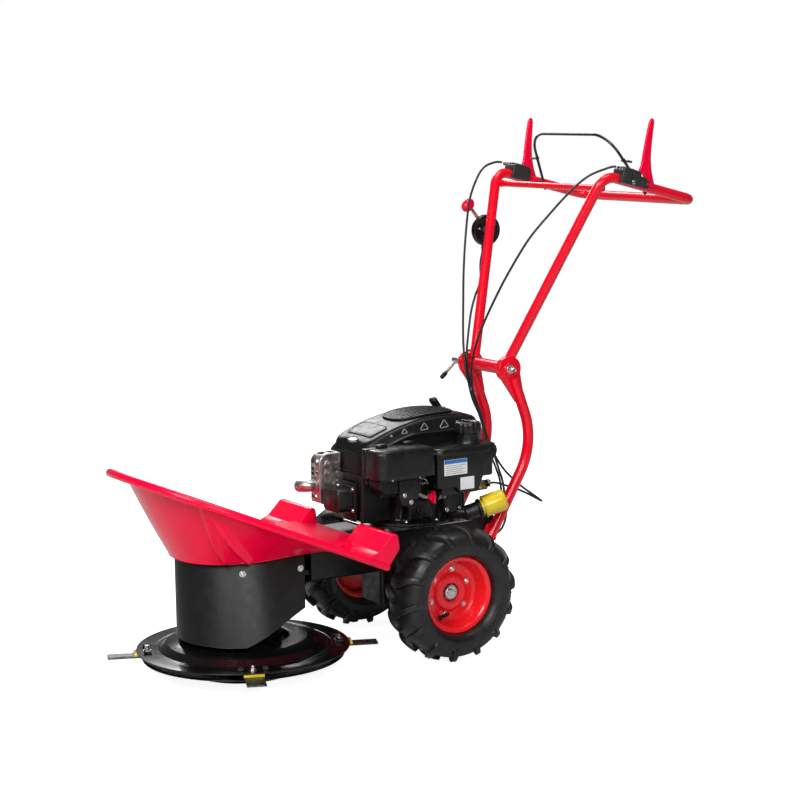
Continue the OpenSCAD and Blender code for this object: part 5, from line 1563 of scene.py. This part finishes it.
def make_blade_sets():
    """The four swinging blades with ground edges, and the bolts and folded clips that hold them."""
    bolts, clips = [], []
    for i in range(4):
        outline = [(22.5 * math.cos(math.radians(a)), 22.5 * math.sin(math.radians(a)))
                   for a in range(90, 271, 10)]
        outline += [(91.2, -22.5), (92.6, -21), (92.6, 21), (91.2, 22.5)]
        blade = prism("blade", outline, 48, 52, "Z", 0.3, 1)
        tools = [lathe("hole", [(0, 40), (5.05, 40), (5.05, 60), (0, 60)], Matrix.Identity(4), 24)]
        for s in (1, -1):
            wedge = prism("ground", [(s * 13.5, 52.6), (s * 25, 52.6), (s * 25, 48.6), (s * 22.4, 48.7)],
                          34, 96, "X", 0)
            tools.append(wedge)
        blade = move(cut(blade, tools, 20), at_blade(i))
        blade.name = "knife_blade_%d" % (i + 1)
        hand_in(paint(blade, "blade_steel"), "knife_%d" % (i + 1), "blade_steel", "blade_%d" % (i + 1))
        bolts.append(move(lathe("head", [(0, 44.6), (7.6, 44.6), (9, 45.8), (9, 47.6), (0, 47.6)],
                                segments=32), at_blade(i)))
        bolts.append(move(lathe("shank", [(0, 46), (4.95, 46), (4.95, 71), (4.2, 72), (0, 72)],
                                segments=24), at_blade(i)))
        bolts.append(move(hex_head("nut", (0, 0, 60.2), Z, 7.6, 6.4, 1.35, 11), at_blade(i)))
        clip = prism("clip",
                     [(202, 52.4), (256, 52.4), (256.4, 57.6), (254.4, 58.4), (252, 56.8), (202, 56.6)],
                     -23, 23, "Y", 0.5, 2)
        cut(clip,
            [lathe("hole", [(0, 40), (5.1, 40), (5.1, 66), (0, 66)], Matrix.Translation((225, 0, 0)), 24)])
        clips.append(move(clip, AT_DRUM @ Matrix.Rotation(DISC_ANGLES[i], 4, "Z")))
    hand_in(paint(join("knife_bolts", bolts), "zinc"), "rotor", "zinc", "blade_bolts")
    hand_in(paint(join("knife_clips", clips), "yellow_paint"), "rotor", "yellow_paint", "blade_clips")


def make_saucer():
    """The dished skid saucer under the disc."""
    profile = rounded([(0, 0), (120, 0), (224, 38), (238, 39), (238, 42), (223, 41), (119, 3), (32, 3),
                       (32, 26), (12.7, 26), (12.7, 4), (0, 4)],
                      [0, 20, 8, 1.2, 1.2, 8, 20, 2, 1, 0.5, 1, 0], 6)
    hand_in(paint(lathe("saucer_skin", profile, AT_DRUM, 160, 50), "black_gloss"), "saucer", "black_paint",
            "skid_saucer")


# ---- Engine block ----


def make_crankcase():
    """The cast crankcase: a ribbed body on a bolted flange, with bosses and the oil filter's stub."""
    base = lathe("base",
                 rounded([(13, 305.2), (108, 305.2), (110, 307), (110, 311), (108, 313), (89, 314.5),
                          (87, 320), (86.4, 404), (88, 407), (92, 408), (92, 413), (88, 415), (84, 424.6),
                          (13, 424.6)], [0, 1, 1, 1, 1, 4, 3, 3, 1, 1, 1, 2, 2, 0], 4),
                 Matrix.Translation((0, 24, 0)), 112, 36)
    body = lathe("body", [(13, 313), (86, 313), (86, 424.4), (13, 424.4)], AT_CRANK, 96, 36)
    tools = [lathe("bore", [(0, 300), (12.6, 300), (12.6, 430), (0, 430)], AT_CRANK, 40)]
    room = lathe("room", [(0, 335), (60, 335), (60, 407), (0, 407)], AT_CRANK, 56)
    parts = []
    for piece in (base, body):
        parts.append(cut(piece, [copy_of(tools[0]), copy_of(room)], 36))
    for tool in tools + [room]:
        bpy.data.objects.remove(tool)
    for k in range(24):
        a = math.radians(15 * k)
        if 60 < 15 * k < 120:
            continue
        rib = block("rib", (84, -1.8, 314), (99, 1.8, 402), 0, 1.2, 2)
        slope = prism("slope", [(88, 352), (101, 318), (112, 318), (112, 420), (88, 420)], -5, 5, "Y", 0)
        cut(rib, [slope])
        parts.append(move(rib, Matrix.Translation((0, 24, 0)) @ Matrix.Rotation(a, 4, "Z")))
    for k in range(8):
        a = math.radians(45 * k + 8)
        spot = Vector((100 * math.cos(a), 24 + 100 * math.sin(a), 312))
        parts.append(lathe("seat", [(0, -2), (9, -2), (9, 3), (8, 4), (0, 4)], aim(spot, Z), 28))
        spot.z += 4
        parts.append(paint(hex_head("flange_bolt", spot, Z, 5.2, 4.6, 1.35, 9 * k), "zinc"))
    side_cover = [block("cover", (58, 58, 330), (104, 112, 392), 8, 4, 3),
                  block("cover", (30, 88, 318), (84, 136, 424), 10, 4, 3),
                  block("cover", (-70, 90, 318), (10, 140, 418), 12, 4, 3),
                  block("cover", (62, -40, 322), (100, 30, 372), 8, 4, 3)]
    parts += side_cover
    for y, z in ((66, 338), (104, 338), (104, 384), (66, 384)):
        parts.append(paint(hex_head("cover_bolt", (104, y, z), X, 4, 3.4, 1.35), "zinc"))
    parts.append(lathe("plug", [(0, -6), (12, -6), (12, 4), (10, 6), (6, 6), (6, 10), (0, 10)],
                       aim((100, -8, 346), X), 32))
    arm = Matrix.Translation((45, 72, 325)) @ Matrix.Rotation(math.radians(37.3), 4, "Z")
    parts.append(move(lathe("arm", [(0, 20), (17.5, 20), (16, 40), (15.4, 84), (0, 84)],
                            Matrix.Rotation(math.pi / 2, 4, "Y"), 40), arm))
    parts.append(lathe("stub",
                       rounded([(0, -50), (16, -50), (19, -46), (19, -16), (24, -12), (24, -6.4),
                                (0, -6.4)], [0, 3, 2, 2, 2, 1, 0], 3), AT_OIL_FILTER, 48))
    cast = join("block", parts)
    for k, finish in enumerate(cast.data.materials):
        if finish is None:
            cast.data.materials[k] = FINISH["cast"]
    hand_in(cast, "chassis", "cast", "crankcase")


def make_cylinder():
    """The finned cylinder with its plastic air guides."""
    parts = [block("barrel", (-31, -152, 337), (31, -52, 403), 0, 4)]
    for i in range(9):
        y = -150 + 11 * i
        parts.append(prism("fin", rectangle((-36 - (i % 2), 322), (36 + (i % 2), 413.6), 7, 4), y, y + 2.6,
                           "Y", 0.6, 2))
    guide = block("guide", (-62, -140, 414), (64, -46, 436.6), 8, 4)
    cut(guide, [lathe("clear", [(0, 400), (88, 400), (88, 450), (0, 450)], AT_CRANK, 64)])
    side_guide = block("side_guide", (46, -148, 322), (60, -66, 430), 10, 5)
    keep = join("fins",
                [paint(join("fins", parts), "cast"), paint(guide, "black_plastic"),
                 paint(side_guide, "gloss_plastic")])
    hand_in(keep, "chassis", "cast", "cylinder")


set_camera()
set_stage()
make_cable("left_cable", LEFT_ROUTE, "cable_left")
make_cable("right_cable", RIGHT_ROUTE, "cable_right")
make_cable("throttle_cable", THROTTLE_ROUTE, "cable_throttle")
make_shield()
make_wheel("left")
make_wheel("right")
make_axle()
make_tubes()
make_masts()
make_pivot()
make_clamp()
make_lever_housings()
make_drive_lever("left")
make_drive_lever("right")
make_bail()
make_throttle()
make_blower()
make_starter_grip()
make_tank()
make_cap()
make_air_cleaner()
make_intake()
make_tap()
make_oil_filter()
make_bracket()
make_valve_cover()
make_muffler()
make_guard()
make_beam()
make_engine_plate()
make_shroud()
make_gearbox()
make_disc()
make_blade_sets()
make_saucer()
make_crankcase()
make_cylinder()
